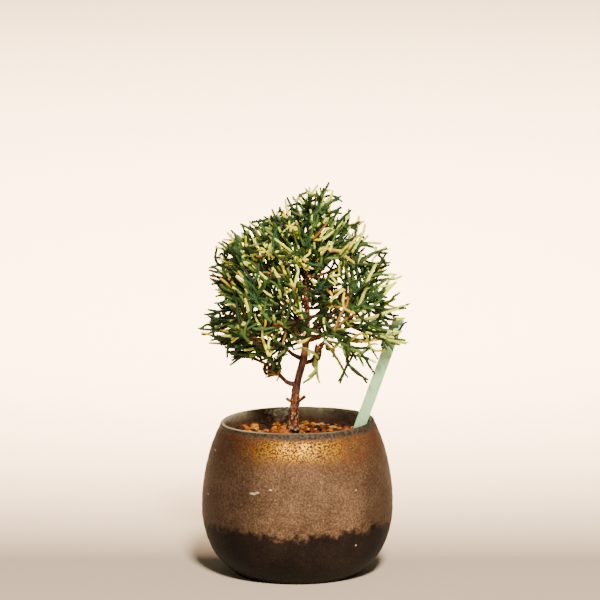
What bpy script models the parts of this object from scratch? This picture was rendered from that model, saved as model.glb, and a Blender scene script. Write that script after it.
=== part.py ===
"""A miniature variegated juniper in a round stoneware pot, with a plain label pushed into its gravel.

+Z is up, the origin is the centre of the pot's flat underside, the tree's front faces -Y and its trunk leans to
+X. Sizes are in millimetres and meshes are made in metres. The tree is worked out first and built afterwards. A
bough leaves the trunk at a height, in a heading and a rise. A mass of foliage is a stem that goes on from a limb:
its twigs each bend to a target inside the crown's outline, and fingers of foliage stand along them by turns. A
mass keeps to the space that is nearer to its own stem than to any other.
"""

import math

import bpy
import numpy as np
from mathutils import Matrix, Vector
from mathutils.geometry import delaunay_2d_cdt

MM = 0.001
GAP = 0.3
SEED = 7
UP = np.array([0.0, 0.0, 1.0])

# ---- the pot's sizes -------------------------------------------------------------------------------------------

# Outer outline as (radius, height), from the foot to the lip.
POT_OUTLINE = [
    (28.2, 0.7), (32.6, 4.3), (37.3, 9.7), (40.6, 16.7), (42.7, 25.5),
    (43.0, 33.5), (42.3, 42.0), (40.9, 50.0), (39.0, 57.5), (36.6, 64.0),
]
POT_FOOT_RADIUS = 27.4
POT_WALL = 4.0
POT_WALL_AT_LIP = 2.6
POT_FLOOR = 5.0
LIP_RADIUS = 33.5
LIP_HEIGHT = 68.4
LIP_ROUND = 1.15
LIP_STEPS = 3
RIM_SLANT = 0.017
POT_STEPS = 40
DRAIN_RADIUS = 2.5
DRAIN_CIRCLE = 13.0
DRAINS = 3
DRAIN_SIDES = 10
# The inner wall starts this high above the floor, and the floor is flat up to this far from it.
INNER_RISE = 1.0
INNER_CORNER = 5.0

# ---- the gravel's and the label's sizes ------------------------------------------------------------------------

SOIL_SEAT_HEIGHT = 65.2
SOIL_SEAT_RADIUS = 5.0
SOIL_EDGE_HEIGHT = 62.2
SOIL_STEPS = 24
SOIL_SEAT_STEPS = 12
# Grains stand this far apart, this far off the seat and the edge. They rise by the first share of SOIL_GRAIN_RELIEF
# to the second over the bed, and the dips between them go as far below it.
SOIL_GRAIN_SPACING = 4.3
SOIL_GRAIN_MARGIN = 2.1
SOIL_GRAIN_RELIEF = 1.2
SOIL_GRAIN_SHARES = (0.5, 1.0)
SOIL_GRAIN_TRIES = 4000
# Its side ends this far below the top's edge.
SOIL_SHOULDER = 2.0

LABEL_FOOT = (22.3, 3.0, 50.0)
LABEL_WIDTH = 5.2
LABEL_THICKNESS = 0.7
LABEL_LENGTH = 69.0
LABEL_LEAN_DEG = 20.0
LABEL_BACK_LEAN_DEG = 3.0
LABEL_TURN_DEG = 15.0

# ---- the limbs' sizes ------------------------------------------------------------------------------------------

# The trunk as (x, y, z, radius), from its flare at the gravel to its tip.
TRUNK = [
    (-1.9, 0.0, 65.5, 3.4), (-1.9, 0.0, 66.8, 2.75), (-1.7, 0.0, 69.5, 2.3), (-1.2, 0.1, 76.0, 2.15),
    (-0.6, 0.2, 82.7, 1.85), (0.5, 0.2, 88.6, 1.65), (2.0, 0.0, 94.2, 1.72), (3.1, -0.3, 99.0, 1.75),
    (3.8, -0.5, 104.5, 1.6), (4.4, -0.3, 111.0, 1.35), (4.4, 0.3, 119.5, 1.2), (3.8, 0.8, 126.5, 1.12),
    (3.3, 0.7, 132.5, 1.0), (4.6, 0.2, 139.5, 0.9), (5.8, -0.2, 148.0, 0.75), (7.4, 0.0, 157.5, 0.6),
    (8.4, 0.3, 162.5, 0.5),
]
TRUNK_SIDES = 12

# Pruned stubs on the trunk as (height, heading, rise, length, radius).
STUBS = [(77.0, 176, 30, 4.6, 0.75), (76.6, -10, 40, 6.2, 0.85)]
STUB_SIDES = 7

# name: (height on the trunk, heading, rise, length, lift, root radius, tip radius). A heading is in degrees from
# +X towards +Y, and the lift is how far the limb turns upwards by its tip.
BOUGHS = {
    "bough_lower_left": (85.8, 188, 48, 13.0, -8, 1.05, 0.75),
    "bough_left": (97.9, 172, 54, 12.0, -44, 0.95, 0.70),
    "bough_stub": (95.8, -12, 54, 9.0, 4, 0.95, 0.62),
    "bough_right": (106.4, -6, 34, 20.0, -2, 1.25, 0.75),
    "bough_left_middle": (111.5, 186, 26, 17.0, 14, 0.90, 0.62),
    "bough_upper_left": (124.0, 174, 36, 17.0, 6, 0.85, 0.58),
    "bough_upper_right": (134.6, 4, 6, 13.5, 24, 0.75, 0.52),
    "bough_front_left": (107.0, 232, 30, 17.0, 14, 0.90, 0.62),
    "bough_front_right": (116.5, 310, 28, 16.0, 12, 0.85, 0.58),
    "bough_back_left": (109.0, 132, 34, 17.0, 12, 0.90, 0.62),
    "bough_back": (118.5, 88, 32, 16.0, 12, 0.85, 0.58),
    "bough_back_right": (110.2, 42, 24, 17.0, 12, 0.90, 0.60),
}
BOUGH_STATIONS = 5
BOUGH_SIDES = 6

# ---- the foliage's sizes ---------------------------------------------------------------------------------------

# name: (limb, place along it, heading, rise, length, lift) of each mass's stem. A place of 1 is the limb's tip.
STEMS = {
    "foliage_lower_left": ("bough_lower_left", 1.0, 186, 30, 13, -10),
    "foliage_low_left": ("bough_left", 1.0, 182, 6, 17, -8),
    "foliage_left": ("bough_left_middle", 1.0, 184, 20, 14, 6),
    "foliage_upper_left": ("bough_upper_left", 1.0, 178, 26, 12, 6),
    "foliage_crest_left": ("trunk", 0.75, 168, 44, 18, 10),
    "foliage_top": ("trunk", 1.0, 20, 68, 9, 4),
    "foliage_crest_right": ("trunk", 0.84, 8, 34, 15, 18),
    "foliage_upper_right": ("bough_upper_right", 1.0, 0, 18, 13, 4),
    "foliage_right": ("bough_right", 1.0, 4, 42, 14, -6),
    "foliage_far_right": ("bough_right", 0.90, -22, -4, 15, 6),
    "foliage_hanging": ("bough_right", 0.62, -40, -22, 11, -26),
    "foliage_stub_sprig": ("bough_stub", 0.55, 262, -76, 7, -6),
    "foliage_front_left": ("bough_front_left", 1.0, 224, 18, 11, 8),
    "foliage_front_right": ("bough_front_right", 1.0, 318, 20, 11, 6),
    "foliage_front_top": ("trunk", 0.79, 262, 34, 17, 16),
    "foliage_front": ("trunk", 0.60, 238, 30, 15, 14),
    "foliage_back_left": ("bough_back_left", 1.0, 142, 18, 11, 8),
    "foliage_back": ("bough_back", 1.0, 92, 22, 11, 6),
    "foliage_back_right": ("bough_back_right", 1.0, 34, 18, 12, 8),
    "foliage_back_top": ("trunk", 0.77, 78, 36, 16, 16),
}
STEM_STATIONS = 7
STEM_RADII = (0.75, 0.62)

# The crown's outline as (height, left edge, right edge, half depth), in a plane tipped back by CROWN_PITCH.
CROWN = np.array([
    (84, -14, 34, 9), (92, -26, 36, 13), (98, -34, 40, 21), (105, -40, 49, 31), (112, -44, 49, 36),
    (124, -38, 49, 38), (136, -40, 46, 37), (147, -37, 40, 33), (154, -31, 34, 27), (160, -18, 28, 20),
    (166, -9, 22, 13), (172, -1, 18, 8), (176, 9, 16, 4),
], float)
CROWN_PITCH = 0.16
CROWN_MIDDLE = (4.0, 0.0, 122.0)
# Its underside as (x, height) in the middle. Towards the front and the back it rises to its belly's height.
UNDERSIDE = np.array([
    (-46, 108), (-37, 103), (-31, 94), (-18, 95), (-13, 88), (-8, 89), (-5, 98), (1, 104), (3, 86), (9, 86),
    (12, 104), (15, 100), (19, 86), (32, 88), (37, 96), (40, 101), (50, 104),
], float)
UNDERSIDE_RISE = 1.2
UNDERSIDE_FLAT = 5.0
BELLY = 99.0
# Its furthest tips as (x, y, z).
TIPS = [
    (13.7, 0, 176.0), (4, -3, 173), (23, 4, 164), (31, -3, 157), (47.5, 2, 121), (48, -4, 105), (36, -5, 97),
    (19, -8, 86), (31, -4, 89), (-43, 2, 111), (-39, -3, 137), (-36, 4, 147), (-25, -2, 157), (-8, 3, 164),
    (3.0, -3, 87.2), (9.8, -3, 86.6),
]
# Twigs end at least this far apart, inside the crown and at its outline, and stay off the bare middle. How far out
# a place lies runs from 0 at the crown's middle to 1 at its outline.
SPACING_INSIDE = 10.0
SPACING_OUTSIDE = 8.0
INSIDE_TO_OUTSIDE = (0.5, 0.9)
TOP_HEIGHT = 158.0
TOP_SPACING = 0.75
BARE_MIDDLE = 0.3
CANDIDATES = 9000
# A twig costs its length, more where it turns, and more where its root already carries others.
TURNING = 1.3
CROWDING = 5.0
SHORTEST_TWIG = 4.0
TOO_SHORT = 100.0
TRIES = 4
TWIG_STATIONS = 3
# Its elbow is half way there, on a heading that keeps this much of the run it leaves.
ELBOW_KEEPS = 0.8
# A twig or finger is thin where its root is sunk, then full, and a finger is pointed at its tip.
TWIG_RADII = (0.34, 0.68, 0.5)
FINGER_SHOULDER = 0.35
FINGER_RADII = (0.36, 1.1, 0.15)
FINGER_LENGTH = 10.5
FINGER_SPREAD = 0.2
# From a line's root to its tip, its fingers grow shorter by this much.
FINGER_ROOT_LONGER = 1.05
FINGER_SHORTENS = 0.35
FINGER_CUTS = (1.0, 0.75, 0.55)
FINGER_PITCH = 3.0
FINGER_TOP_SPACE = 0.6
FINGER_ANGLE = 40
FINGER_ANGLE_SPREAD = 9
FINGER_TWIST = 30
FAN_TILT = 50
# In a mass, a line is checked against the others from this far past its root on.
ROOT_RUN = 3.0
SPRIG_GAP = 0.15
OVERREACH = 1.5
PROBE_STEP = 1.2
SPRIG_SIDES = 3


# ---- directions and lines --------------------------------------------------------------------------------------

def unit(vector):
    return vector / np.linalg.norm(vector)


def pointing(heading, rise):
    """The direction of a heading and a rise in degrees."""
    turn, climb = math.radians(heading), math.radians(rise)
    return np.array([math.cos(climb) * math.cos(turn), math.cos(climb) * math.sin(turn), math.sin(climb)])


def turned(vector, axis, degrees):
    """The vector turned about a unit axis."""
    angle = math.radians(degrees)
    return (vector * math.cos(angle) + np.cross(axis, vector) * math.sin(angle)
            + axis * axis.dot(vector) * (1 - math.cos(angle)))


def level_side(direction):
    """A level direction square to this one."""
    side = np.cross(direction, UP)
    return unit(side) if np.linalg.norm(side) > 0.001 else np.array([1.0, 0.0, 0.0])


def bent_line(start, first, direction, length, lift, stations):
    """A line that sets off between first and direction, then turns upwards by lift degrees to its end."""
    side = level_side(direction)
    step = length / (stations - 1)
    points = [start]
    for k in range(stations - 1):
        heading = turned(direction, side, lift * (k + 0.5) / (stations - 1))
        points.append(points[-1] + (unit(first + direction) if k == 0 else heading) * step)
    return np.array(points)


def along(points, share):
    """(place, direction, stretch) at this share of a line's length."""
    lengths = np.linalg.norm(np.diff(points, axis=0), axis=1)
    left = share * lengths.sum()
    for stretch, length in enumerate(lengths):
        if left <= length or stretch == len(lengths) - 1:
            part = min(left / length, 1.0)
            run = points[stretch + 1] - points[stretch]
            return points[stretch] + run * part, unit(run), stretch
        left -= length


def label_place():
    """The label's middle, and its width, thickness and length directions as rows."""
    length = turned(turned(UP, np.array([0.0, 1.0, 0.0]), LABEL_LEAN_DEG),
                    np.array([1.0, 0.0, 0.0]), -LABEL_BACK_LEAN_DEG)
    width = turned(unit(np.cross((0.0, 1.0, 0.0), length)), length, LABEL_TURN_DEG)
    return np.array(LABEL_FOOT) + length * LABEL_LENGTH / 2, np.array([width, np.cross(length, width), length])


# ---- the crown's outline and the space that each mass keeps to -------------------------------------------------

def in_crown(point, spread=0.0):
    """True inside the crown's outline, made wider by spread."""
    x, y, z = point
    height = z + y * CROWN_PITCH
    if not CROWN[0, 0] - spread < height < CROWN[-1, 0] + spread:
        return False
    left, right, depth = (np.interp(height, CROWN[:, 0], CROWN[:, k]) for k in (1, 2, 3))
    middle, half = (left + right) / 2, (right - left) / 2 + spread
    if ((x - middle) / half) ** 2 + (y / (depth + spread)) ** 2 > 1:
        return False
    low = np.interp(x, UNDERSIDE[:, 0], UNDERSIDE[:, 1])
    return height > max(low, min(BELLY, low + UNDERSIDE_RISE * (abs(y) - UNDERSIDE_FLAT))) - spread


def crown_share(point):
    """How far out a point lies, from 0 at the crown's middle to 1 at its outline."""
    middle = np.array(CROWN_MIDDLE)
    low, high = 0.0, 4.0
    for _ in range(12):
        probe = (low + high) / 2
        if in_crown(middle + (point - middle) * probe):
            low = probe
        else:
            high = probe
    return 1 / max(low, 0.001)


def distances(points, ends):
    """The distance of each point to each stretch between two ends."""
    start, run = ends[:, :3], ends[:, 3:] - ends[:, :3]
    away = points[:, None] - start[None]
    share = np.clip((away * run).sum(2) / (run * run).sum(1), 0, 1)
    return np.linalg.norm(away - run * share[..., None], axis=2)


class Taken:
    """The twigs and fingers of one mass, which later ones grow clear of once they are past their own roots."""

    def __init__(self):
        self.ends, self.radii = np.empty((0, 6)), np.empty(0)

    def add(self, line, radii):
        self.ends = np.vstack([self.ends, np.hstack([line[:-1], line[1:]])])
        self.radii = np.append(self.radii, np.maximum(radii[:-1], radii[1:]))

    def leaves_room(self, line, radius):
        """True if the line, past its first ROOT_RUN, is clear of everything in the mass."""
        length = np.linalg.norm(np.diff(line, axis=0), axis=1).sum()
        if not len(self.ends) or length <= ROOT_RUN:
            return True
        shares = np.linspace(ROOT_RUN / length, 1, max(3, math.ceil(length / PROBE_STEP)))
        points = np.array([along(line, share)[0] for share in shares])
        return not (distances(points, self.ends) < self.radii + radius + SPRIG_GAP).any()


class Space:
    """Whose space a place is in, and whether a twig or finger stays in it, clear of the limbs and the label."""

    def __init__(self, limbs, stems):
        self.limb_ends = np.array([[*a, *b] for points, _ in limbs.values() for a, b in zip(points, points[1:])])
        self.limb_radii = np.array([max(a, b) for _, radii in limbs.values() for a, b in zip(radii, radii[1:])])
        self.stem_ends = np.array([[*a, *b] for points, _ in stems.values() for a, b in zip(points, points[1:])])
        self.owners = np.array([name for name, (points, _) in stems.items() for _ in points[1:]])
        self.label_middle, self.label_axes = label_place()

    def owner(self, point):
        return self.owners[distances(point[None], self.stem_ends)[0].argmin()]

    def holds(self, owner, start, end, radius):
        points = np.linspace(start, end, max(3, math.ceil(np.linalg.norm(end - start) / PROBE_STEP)))
        if (distances(points, self.limb_ends) < self.limb_radii + radius + GAP).any():
            return False
        to_stems = distances(points, self.stem_ends)
        own = self.owners == owner
        if (to_stems[:, ~own].min(1) - to_stems[:, own].min(1) < 2 * radius + GAP).any():
            return False
        if not in_crown(end, OVERREACH):
            return False
        outside = (np.abs((points - self.label_middle) @ self.label_axes.T)
                   - np.array([LABEL_WIDTH, LABEL_THICKNESS, LABEL_LENGTH]) / 2)
        return bool((np.linalg.norm(np.maximum(outside, 0), axis=1) > radius + GAP).all())


# ---- the plan of the tree: every line is (points, radii) -------------------------------------------------------

def plan_limbs():
    """The trunk and the boughs, each bough from just clear of the trunk's side."""
    trunk = np.array(TRUNK)
    limbs = {"trunk": (trunk[:, :3], trunk[:, 3])}
    for name, (height, heading, rise, length, lift, root, tip) in BOUGHS.items():
        x, y, girth = (np.interp(height, trunk[:, 2], trunk[:, k]) for k in (0, 1, 3))
        outward = pointing(heading, 0)
        start = np.array([x, y, height]) + outward * (girth + GAP)
        points = bent_line(start, outward, pointing(heading, rise), length, lift, BOUGH_STATIONS)
        limbs[name] = (points, np.linspace(root, tip, BOUGH_STATIONS))
    return limbs


def plan_stems(limbs):
    """The stem of each mass, from just clear of its limb's tip or side, and the direction that it sets off in."""
    stems, firsts = {}, {}
    for name, (limb, share, heading, rise, length, lift) in STEMS.items():
        points, radii = limbs[limb]
        direction = pointing(heading, rise)
        place, run, stretch = along(points, share)
        if share == 1.0:
            first, start = run, place + run * GAP
        else:
            first = unit(direction - run * direction.dot(run))
            start = place + first * (radii[stretch] + GAP)
        line = bent_line(start, first, direction, length, lift, STEM_STATIONS)
        stems[name], firsts[name] = (line, np.linspace(*STEM_RADII, STEM_STATIONS)), first
    return stems, firsts


def plan_targets(space):
    """Places spread evenly through the crown, closer towards its outline and its top, by the mass they are in."""
    rng = np.random.default_rng(SEED)
    low = np.array([CROWN[:, 1].min(), -CROWN[:, 3].max(), CROWN[0, 0]])
    high = np.array([CROWN[:, 2].max(), CROWN[:, 3].max(), CROWN[-1, 0]])
    taken = [np.array(tip, float) for tip in TIPS]
    for point in rng.uniform(low, high, (CANDIDATES, 3)):
        share = crown_share(point) if in_crown(point) else 0.0
        if share < BARE_MIDDLE:
            continue
        apart = np.interp(share, INSIDE_TO_OUTSIDE, (SPACING_INSIDE, SPACING_OUTSIDE))
        if point[2] > TOP_HEIGHT:
            apart *= TOP_SPACING
        if np.linalg.norm(np.array(taken) - point, axis=1).min() > apart:
            taken.append(point)
    owners = [space.owner(point) for point in taken]
    return {name: [p for p, owner in zip(taken, owners) if owner == name] for name in STEMS}


def grow_twigs(space, taken, name, stem, targets):
    """The mass's twigs: each leaves the stem or an older twig where that is least far and least of a turn."""
    nodes = [[p, unit(q - o), 0] for o, p, q in zip(stem, stem[1:], [*stem[2:], 2 * stem[-1] - stem[-2]])]
    twigs = []
    for target in sorted(targets, key=lambda place: np.linalg.norm(place - stem[0])):
        costs = []
        for place, run, used in nodes:
            reach = np.linalg.norm(target - place)
            bend = 1 - run.dot(target - place) / max(reach, 0.001)
            too_near = TOO_SHORT if reach < SHORTEST_TWIG else 0
            costs.append(reach * (1 + TURNING * bend) + used * CROWDING + too_near)
        for choice in np.argsort(costs)[:TRIES]:
            place, run, _ = nodes[choice]
            reach = np.linalg.norm(target - place)
            if reach < SHORTEST_TWIG:
                continue
            elbow = place + unit(run * ELBOW_KEEPS + (target - place) / reach) * reach / 2
            share = np.linspace(0, 1, TWIG_STATIONS)[:, None]
            line = place * (1 - share) ** 2 + elbow * 2 * share * (1 - share) + target * share ** 2
            kept = 1
            while kept < TWIG_STATIONS and space.holds(name, line[kept - 1], line[kept], max(TWIG_RADII)):
                kept += 1
            line = line[:kept]
            if kept >= TWIG_STATIONS - 1 and taken.leaves_room(line, max(TWIG_RADII)):
                taken.add(line, np.full(kept, max(TWIG_RADII)))
                twigs.append((line, np.array(TWIG_RADII[:kept])))
                nodes[choice][2] += 1
                nodes += [[line[k], unit(line[min(k + 1, kept - 1)] - line[k - 1]), 0] for k in range(1, kept)]
                break
    return twigs


def grow_fingers(space, taken, name, lines, rng):
    """Fingers set by turns on the two sides of the stem and of each twig, shorter where the space ends."""
    fingers = []
    for twig, _ in lines:
        length = np.linalg.norm(np.diff(twig, axis=0), axis=1).sum()
        chord = unit(twig[-1] - twig[0])
        flat = turned(level_side(chord), chord, rng.uniform(-FAN_TILT, FAN_TILT))
        count = max(1, int(length / FINGER_PITCH))
        for k in range(count):
            share = (k + 1) / (count + FINGER_TOP_SPACE)
            place, run, _ = along(twig, share)
            angle = FINGER_ANGLE + rng.uniform(-FINGER_ANGLE_SPREAD, FINGER_ANGLE_SPREAD)
            finger = turned(run, unit(np.cross(run, flat)), angle if k % 2 else -angle)
            finger = turned(finger, run, rng.uniform(-FINGER_TWIST, FINGER_TWIST))
            size = FINGER_LENGTH * (FINGER_ROOT_LONGER - FINGER_SHORTENS * share)
            size *= rng.uniform(1 - FINGER_SPREAD, 1 + FINGER_SPREAD)
            for cut in FINGER_CUTS:
                end = place + finger * size * cut
                line = np.array([place, place + (end - place) * FINGER_SHOULDER, end])
                if space.holds(name, place, end, max(FINGER_RADII)) and taken.leaves_room(line, max(FINGER_RADII)):
                    taken.add(line, np.full(3, max(FINGER_RADII)))
                    fingers.append((line, np.array(FINGER_RADII)))
                    break
    return fingers


# ---- building --------------------------------------------------------------------------------------------------

def clear_scene():
    for old in list(bpy.data.objects):
        bpy.data.objects.remove(old, do_unlink=True)


def new_collection(name, hidden=False):
    collection = bpy.data.collections.new(name)
    bpy.context.scene.collection.children.link(collection)
    collection.hide_render = hidden
    return collection


def new_material(name, colour, roughness):
    material = bpy.data.materials.new(name)
    material.use_nodes = True
    shader = material.node_tree.nodes["Principled BSDF"]
    shader.inputs["Base Color"].default_value = (*colour, 1.0)
    shader.inputs["Roughness"].default_value = roughness
    shader.inputs["Metallic"].default_value = 0.0
    return material


def new_object(name, mesh, collection, material=None):
    thing = bpy.data.objects.new(name, mesh)
    collection.objects.link(thing)
    if material:
        mesh.materials.append(material)
    return thing


def loft(name, points, radii, sides, collection, material=None, first=None):
    """A closed tube through rings of these radii. Its root ring is square to first, where that is given."""
    segments = np.diff(points, axis=0)
    segments /= np.linalg.norm(segments, axis=1)[:, None]
    normals = np.vstack([segments[:1] if first is None else first[None],
                         segments[:-1] + segments[1:], segments[-1:]])
    across = level_side(unit(points[-1] - points[0]))
    rings = []
    for place, normal, radius in zip(points, normals, radii):
        normal = unit(normal)
        side = unit(across - normal * across.dot(normal))
        over = np.cross(normal, side)
        turns = np.arange(sides) * math.tau / sides
        rings += [place + (side * math.cos(t) + over * math.sin(t)) * radius for t in turns]
    faces = [tuple(range(sides))[::-1], tuple(range(len(rings) - sides, len(rings)))]
    for ring in range(len(points) - 1):
        for k in range(sides):
            a, b = ring * sides + k, ring * sides + (k + 1) % sides
            faces.append((a, b, b + sides, a + sides))
    mesh = bpy.data.meshes.new(name)
    mesh.from_pydata([Vector(p) * MM for p in rings], [], faces)
    return new_object(name, mesh, collection, material)


def screw_profile(name, profile, steps, collection, material):
    """A turned solid from a profile of (radius, height) that runs out from the axis and back to it."""
    mesh = bpy.data.meshes.new(name)
    points = [(r * MM, 0.0, z * MM) for r, z in profile]
    mesh.from_pydata(points, [(k, k + 1) for k in range(len(points) - 1)], [])
    thing = new_object(name, mesh, collection, material)
    screw = thing.modifiers.new("turned", "SCREW")
    screw.steps = screw.render_steps = steps
    screw.use_merge_vertices = True
    screw.merge_threshold = 0.00005
    return thing


def apply_modifiers(thing):
    """Replace the object's mesh by the mesh that its modifiers give."""
    bpy.context.view_layer.update()
    mesh = bpy.data.meshes.new_from_object(thing.evaluated_get(bpy.context.evaluated_depsgraph_get()))
    thing.modifiers.clear()
    old = thing.data
    mesh.name = old.name
    thing.data = mesh
    bpy.data.meshes.remove(old)


def boolean(thing, operation, cutter=None, cutters=None):
    modifier = thing.modifiers.new(operation.lower(), "BOOLEAN")
    modifier.operation = operation
    modifier.solver = "EXACT"
    if cutters:
        modifier.operand_type = "COLLECTION"
        modifier.collection = cutters
    else:
        modifier.object = cutter


def shade_smooth(thing):
    thing.data.polygons.foreach_set("use_smooth", [True] * len(thing.data.polygons))


# ---- the pot and what stands in it -----------------------------------------------------------------------------

def inner_outline():
    """The pot's inner wall as (radius, height) from the floor up: the outer outline less the wall."""
    heights = np.array([z for _, z in POT_OUTLINE])
    walls = np.interp(heights, (heights[-4], heights[-1]), (POT_WALL, POT_WALL_AT_LIP))
    return [(r - wall, z) for (r, z), wall in zip(POT_OUTLINE, walls) if z > POT_FLOOR + INNER_RISE]


def make_pot(parts, cutters):
    clay = new_material("stoneware", (0.115, 0.078, 0.052), 0.6)
    inner = inner_outline()
    lip = []
    for k in range(LIP_STEPS + 1):
        turn = math.pi * (1 - k / LIP_STEPS)
        lip.append((LIP_RADIUS + LIP_ROUND * math.cos(turn), LIP_HEIGHT + LIP_ROUND * math.sin(turn)))
    profile = ([(0, POT_FLOOR), (inner[0][0] - INNER_CORNER, POT_FLOOR)] + inner + lip + POT_OUTLINE[::-1]
               + [(POT_FOOT_RADIUS, 0), (0, 0)])
    pot = screw_profile("pot", profile, POT_STEPS, parts, clay)
    for k in range(DRAINS):
        turn = math.tau * (k + 0.25) / DRAINS
        place = (math.cos(turn) * DRAIN_CIRCLE * MM, math.sin(turn) * DRAIN_CIRCLE * MM, POT_FLOOR / 2 * MM)
        bpy.ops.mesh.primitive_cylinder_add(vertices=DRAIN_SIDES, radius=DRAIN_RADIUS * MM,
                                            depth=POT_FLOOR * 2 * MM, location=place)
        drill = bpy.context.object
        drill.name = f"drain_cutter_{k + 1}"
        for holder in list(drill.users_collection):
            holder.objects.unlink(drill)
        cutters.objects.link(drill)
        drill.display_type = "WIRE"
        drill.hide_render = True
        boolean(pot, "DIFFERENCE", cutter=drill)
    apply_modifiers(pot)
    for vertex in pot.data.vertices:
        vertex.co.z += vertex.co.x * RIM_SLANT * (vertex.co.z / (LIP_HEIGHT * MM)) ** 2
    shade_smooth(pot)


def grain_spots(rng, edge):
    """Places for the grains' tops on the gravel, and for the dips between them, as (x, y, rise)."""
    tops = []
    for _ in range(SOIL_GRAIN_TRIES):
        spot = rng.uniform(-edge, edge, 2)
        radius = np.hypot(*spot)
        if not SOIL_SEAT_RADIUS + SOIL_GRAIN_MARGIN < radius < edge - SOIL_GRAIN_MARGIN:
            continue
        if all(np.hypot(*(spot - top)) > SOIL_GRAIN_SPACING for top in tops):
            tops.append(spot)
    corners, _, faces, *_ = delaunay_2d_cdt([Vector(top) for top in tops], [], [], 0, 0.0001)
    dips = [np.mean([corners[k] for k in face], axis=0) for face in faces]
    dips = [dip for dip in dips if np.hypot(*dip) > SOIL_SEAT_RADIUS + SOIL_GRAIN_MARGIN / 2]
    rises = SOIL_GRAIN_RELIEF * rng.uniform(*SOIL_GRAIN_SHARES, len(tops) + len(dips))
    rises[len(tops):] *= -1
    return [(*spot, rise) for spot, rise in zip(tops + dips, rises)]


def circle(radius, steps):
    turns = np.arange(steps) * math.tau / steps
    return [(radius * math.cos(turn), radius * math.sin(turn)) for turn in turns]


def make_soil(parts, cutters):
    """The gravel: a plug that fits the pot, its top a field of grains round the trunk's flat seat."""
    gravel = new_material("gravel", (0.33, 0.13, 0.05), 0.9)
    inner = [(r - GAP, z) for r, z in inner_outline() if z < SOIL_EDGE_HEIGHT - SOIL_SHOULDER]
    radii, heights = zip(*inner_outline())
    edge = np.interp(SOIL_EDGE_HEIGHT, heights, radii) - GAP
    spots = [(x, y, 0.0) for x, y in circle(edge, SOIL_STEPS) + circle(SOIL_SEAT_RADIUS, SOIL_SEAT_STEPS)]
    spots += grain_spots(np.random.default_rng(SEED), edge)
    top, _, faces, origins, *_ = delaunay_2d_cdt([Vector(spot[:2]) for spot in spots], [], [], 0, 0.0001)
    corners = []
    for place, came_from in zip(top, origins):
        bed = np.interp(place.length, (SOIL_SEAT_RADIUS, edge), (SOIL_SEAT_HEIGHT, SOIL_EDGE_HEIGHT))
        corners.append((*place, bed + spots[came_from[0]][2]))
    above = [origins.index([k]) for k in range(SOIL_STEPS)]
    for radius, height in inner[::-1] + [(inner[0][0] - INNER_CORNER, POT_FLOOR + GAP)]:
        below = list(range(len(corners), len(corners) + SOIL_STEPS))
        corners += [(x, y, height) for x, y in circle(radius, SOIL_STEPS)]
        faces += [(above[k - 1], below[k - 1], below[k], above[k]) for k in range(SOIL_STEPS)]
        above = below
    faces.append(above[::-1])
    mesh = bpy.data.meshes.new("gravel")
    mesh.from_pydata([Vector(corner) * MM for corner in corners], [], faces)
    soil = new_object("gravel", mesh, parts, gravel)
    slot = label_solid("label_cutter", cutters, GAP)
    slot.display_type = "WIRE"
    slot.hide_render = True
    boolean(soil, "DIFFERENCE", cutter=slot)
    apply_modifiers(soil)


def label_solid(name, collection, spread):
    """The label's block, larger by spread on every side."""
    middle, axes = label_place()
    bpy.ops.mesh.primitive_cube_add(size=1)
    block = bpy.context.object
    block.name = name
    for holder in list(block.users_collection):
        holder.objects.unlink(block)
    collection.objects.link(block)
    sizes = np.array([LABEL_WIDTH, LABEL_THICKNESS, LABEL_LENGTH]) + 2 * spread
    block.data.transform(Matrix.Diagonal((*(sizes * MM), 1.0)))
    block.matrix_world = Matrix.Translation(Vector(middle) * MM) @ Matrix(axes.T.tolist()).to_4x4()
    return block


def make_label(parts):
    label = label_solid("label", parts, 0.0)
    label.data.materials.append(new_material("label_plastic", (0.50, 0.66, 0.50), 0.45))


# ---- the tree --------------------------------------------------------------------------------------------------

def make_limbs(limbs, parts, scratch):
    bark = new_material("bark", (0.16, 0.07, 0.04), 0.85)
    for name, (points, radii) in limbs.items():
        if name != "trunk":
            first = pointing(BOUGHS[name][1], 0)
            shade_smooth(loft(name, points, radii, BOUGH_SIDES, parts, bark, first))
    points, radii = limbs["trunk"]
    trunk = loft("trunk", points, radii, TRUNK_SIDES, parts, bark, UP)
    for height, heading, rise, length, radius in STUBS:
        start = np.array([*(np.interp(height, points[:, 2], points[:, k]) for k in (0, 1)), height])
        line = np.array([start, start + pointing(heading, rise) * length])
        loft("stub", line, (radius, radius * 0.8), STUB_SIDES, scratch)
    join(trunk, scratch)
    shade_smooth(trunk)


def join(thing, scratch):
    """Fuse the scratch collection's objects on to this one by one union, and remove them."""
    boolean(thing, "UNION", cutters=scratch)
    apply_modifiers(thing)
    for piece in list(scratch.objects):
        mesh = piece.data
        bpy.data.objects.remove(piece, do_unlink=True)
        bpy.data.meshes.remove(mesh)


def make_foliage(space, stems, firsts, parts, scratch):
    leaf = new_material("foliage", (0.06, 0.16, 0.05), 0.6)
    targets = plan_targets(space)
    for number, (name, (points, radii)) in enumerate(stems.items()):
        rng = np.random.default_rng(SEED * 100 + number)
        taken = Taken()
        taken.add(points, radii)
        twigs = grow_twigs(space, taken, name, points, targets[name])
        fingers = grow_fingers(space, taken, name, [stems[name]] + twigs, rng)
        mass = loft(name, points, radii, SPRIG_SIDES, parts, leaf, firsts[name])
        for line, widths in twigs + fingers:
            loft("sprig", line, widths, SPRIG_SIDES, scratch)
        join(mass, scratch)


def main():
    clear_scene()
    parts = new_collection("potted_juniper")
    cutters = new_collection("cutters", hidden=True)
    scratch = new_collection("scratch", hidden=True)
    make_pot(parts, cutters)
    make_soil(parts, cutters)
    make_label(parts)
    limbs = plan_limbs()
    stems, firsts = plan_stems(limbs)
    make_limbs(limbs, parts, scratch)
    make_foliage(Space(limbs, stems), stems, firsts, parts, scratch)
    bpy.data.collections.remove(scratch)


main()
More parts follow.
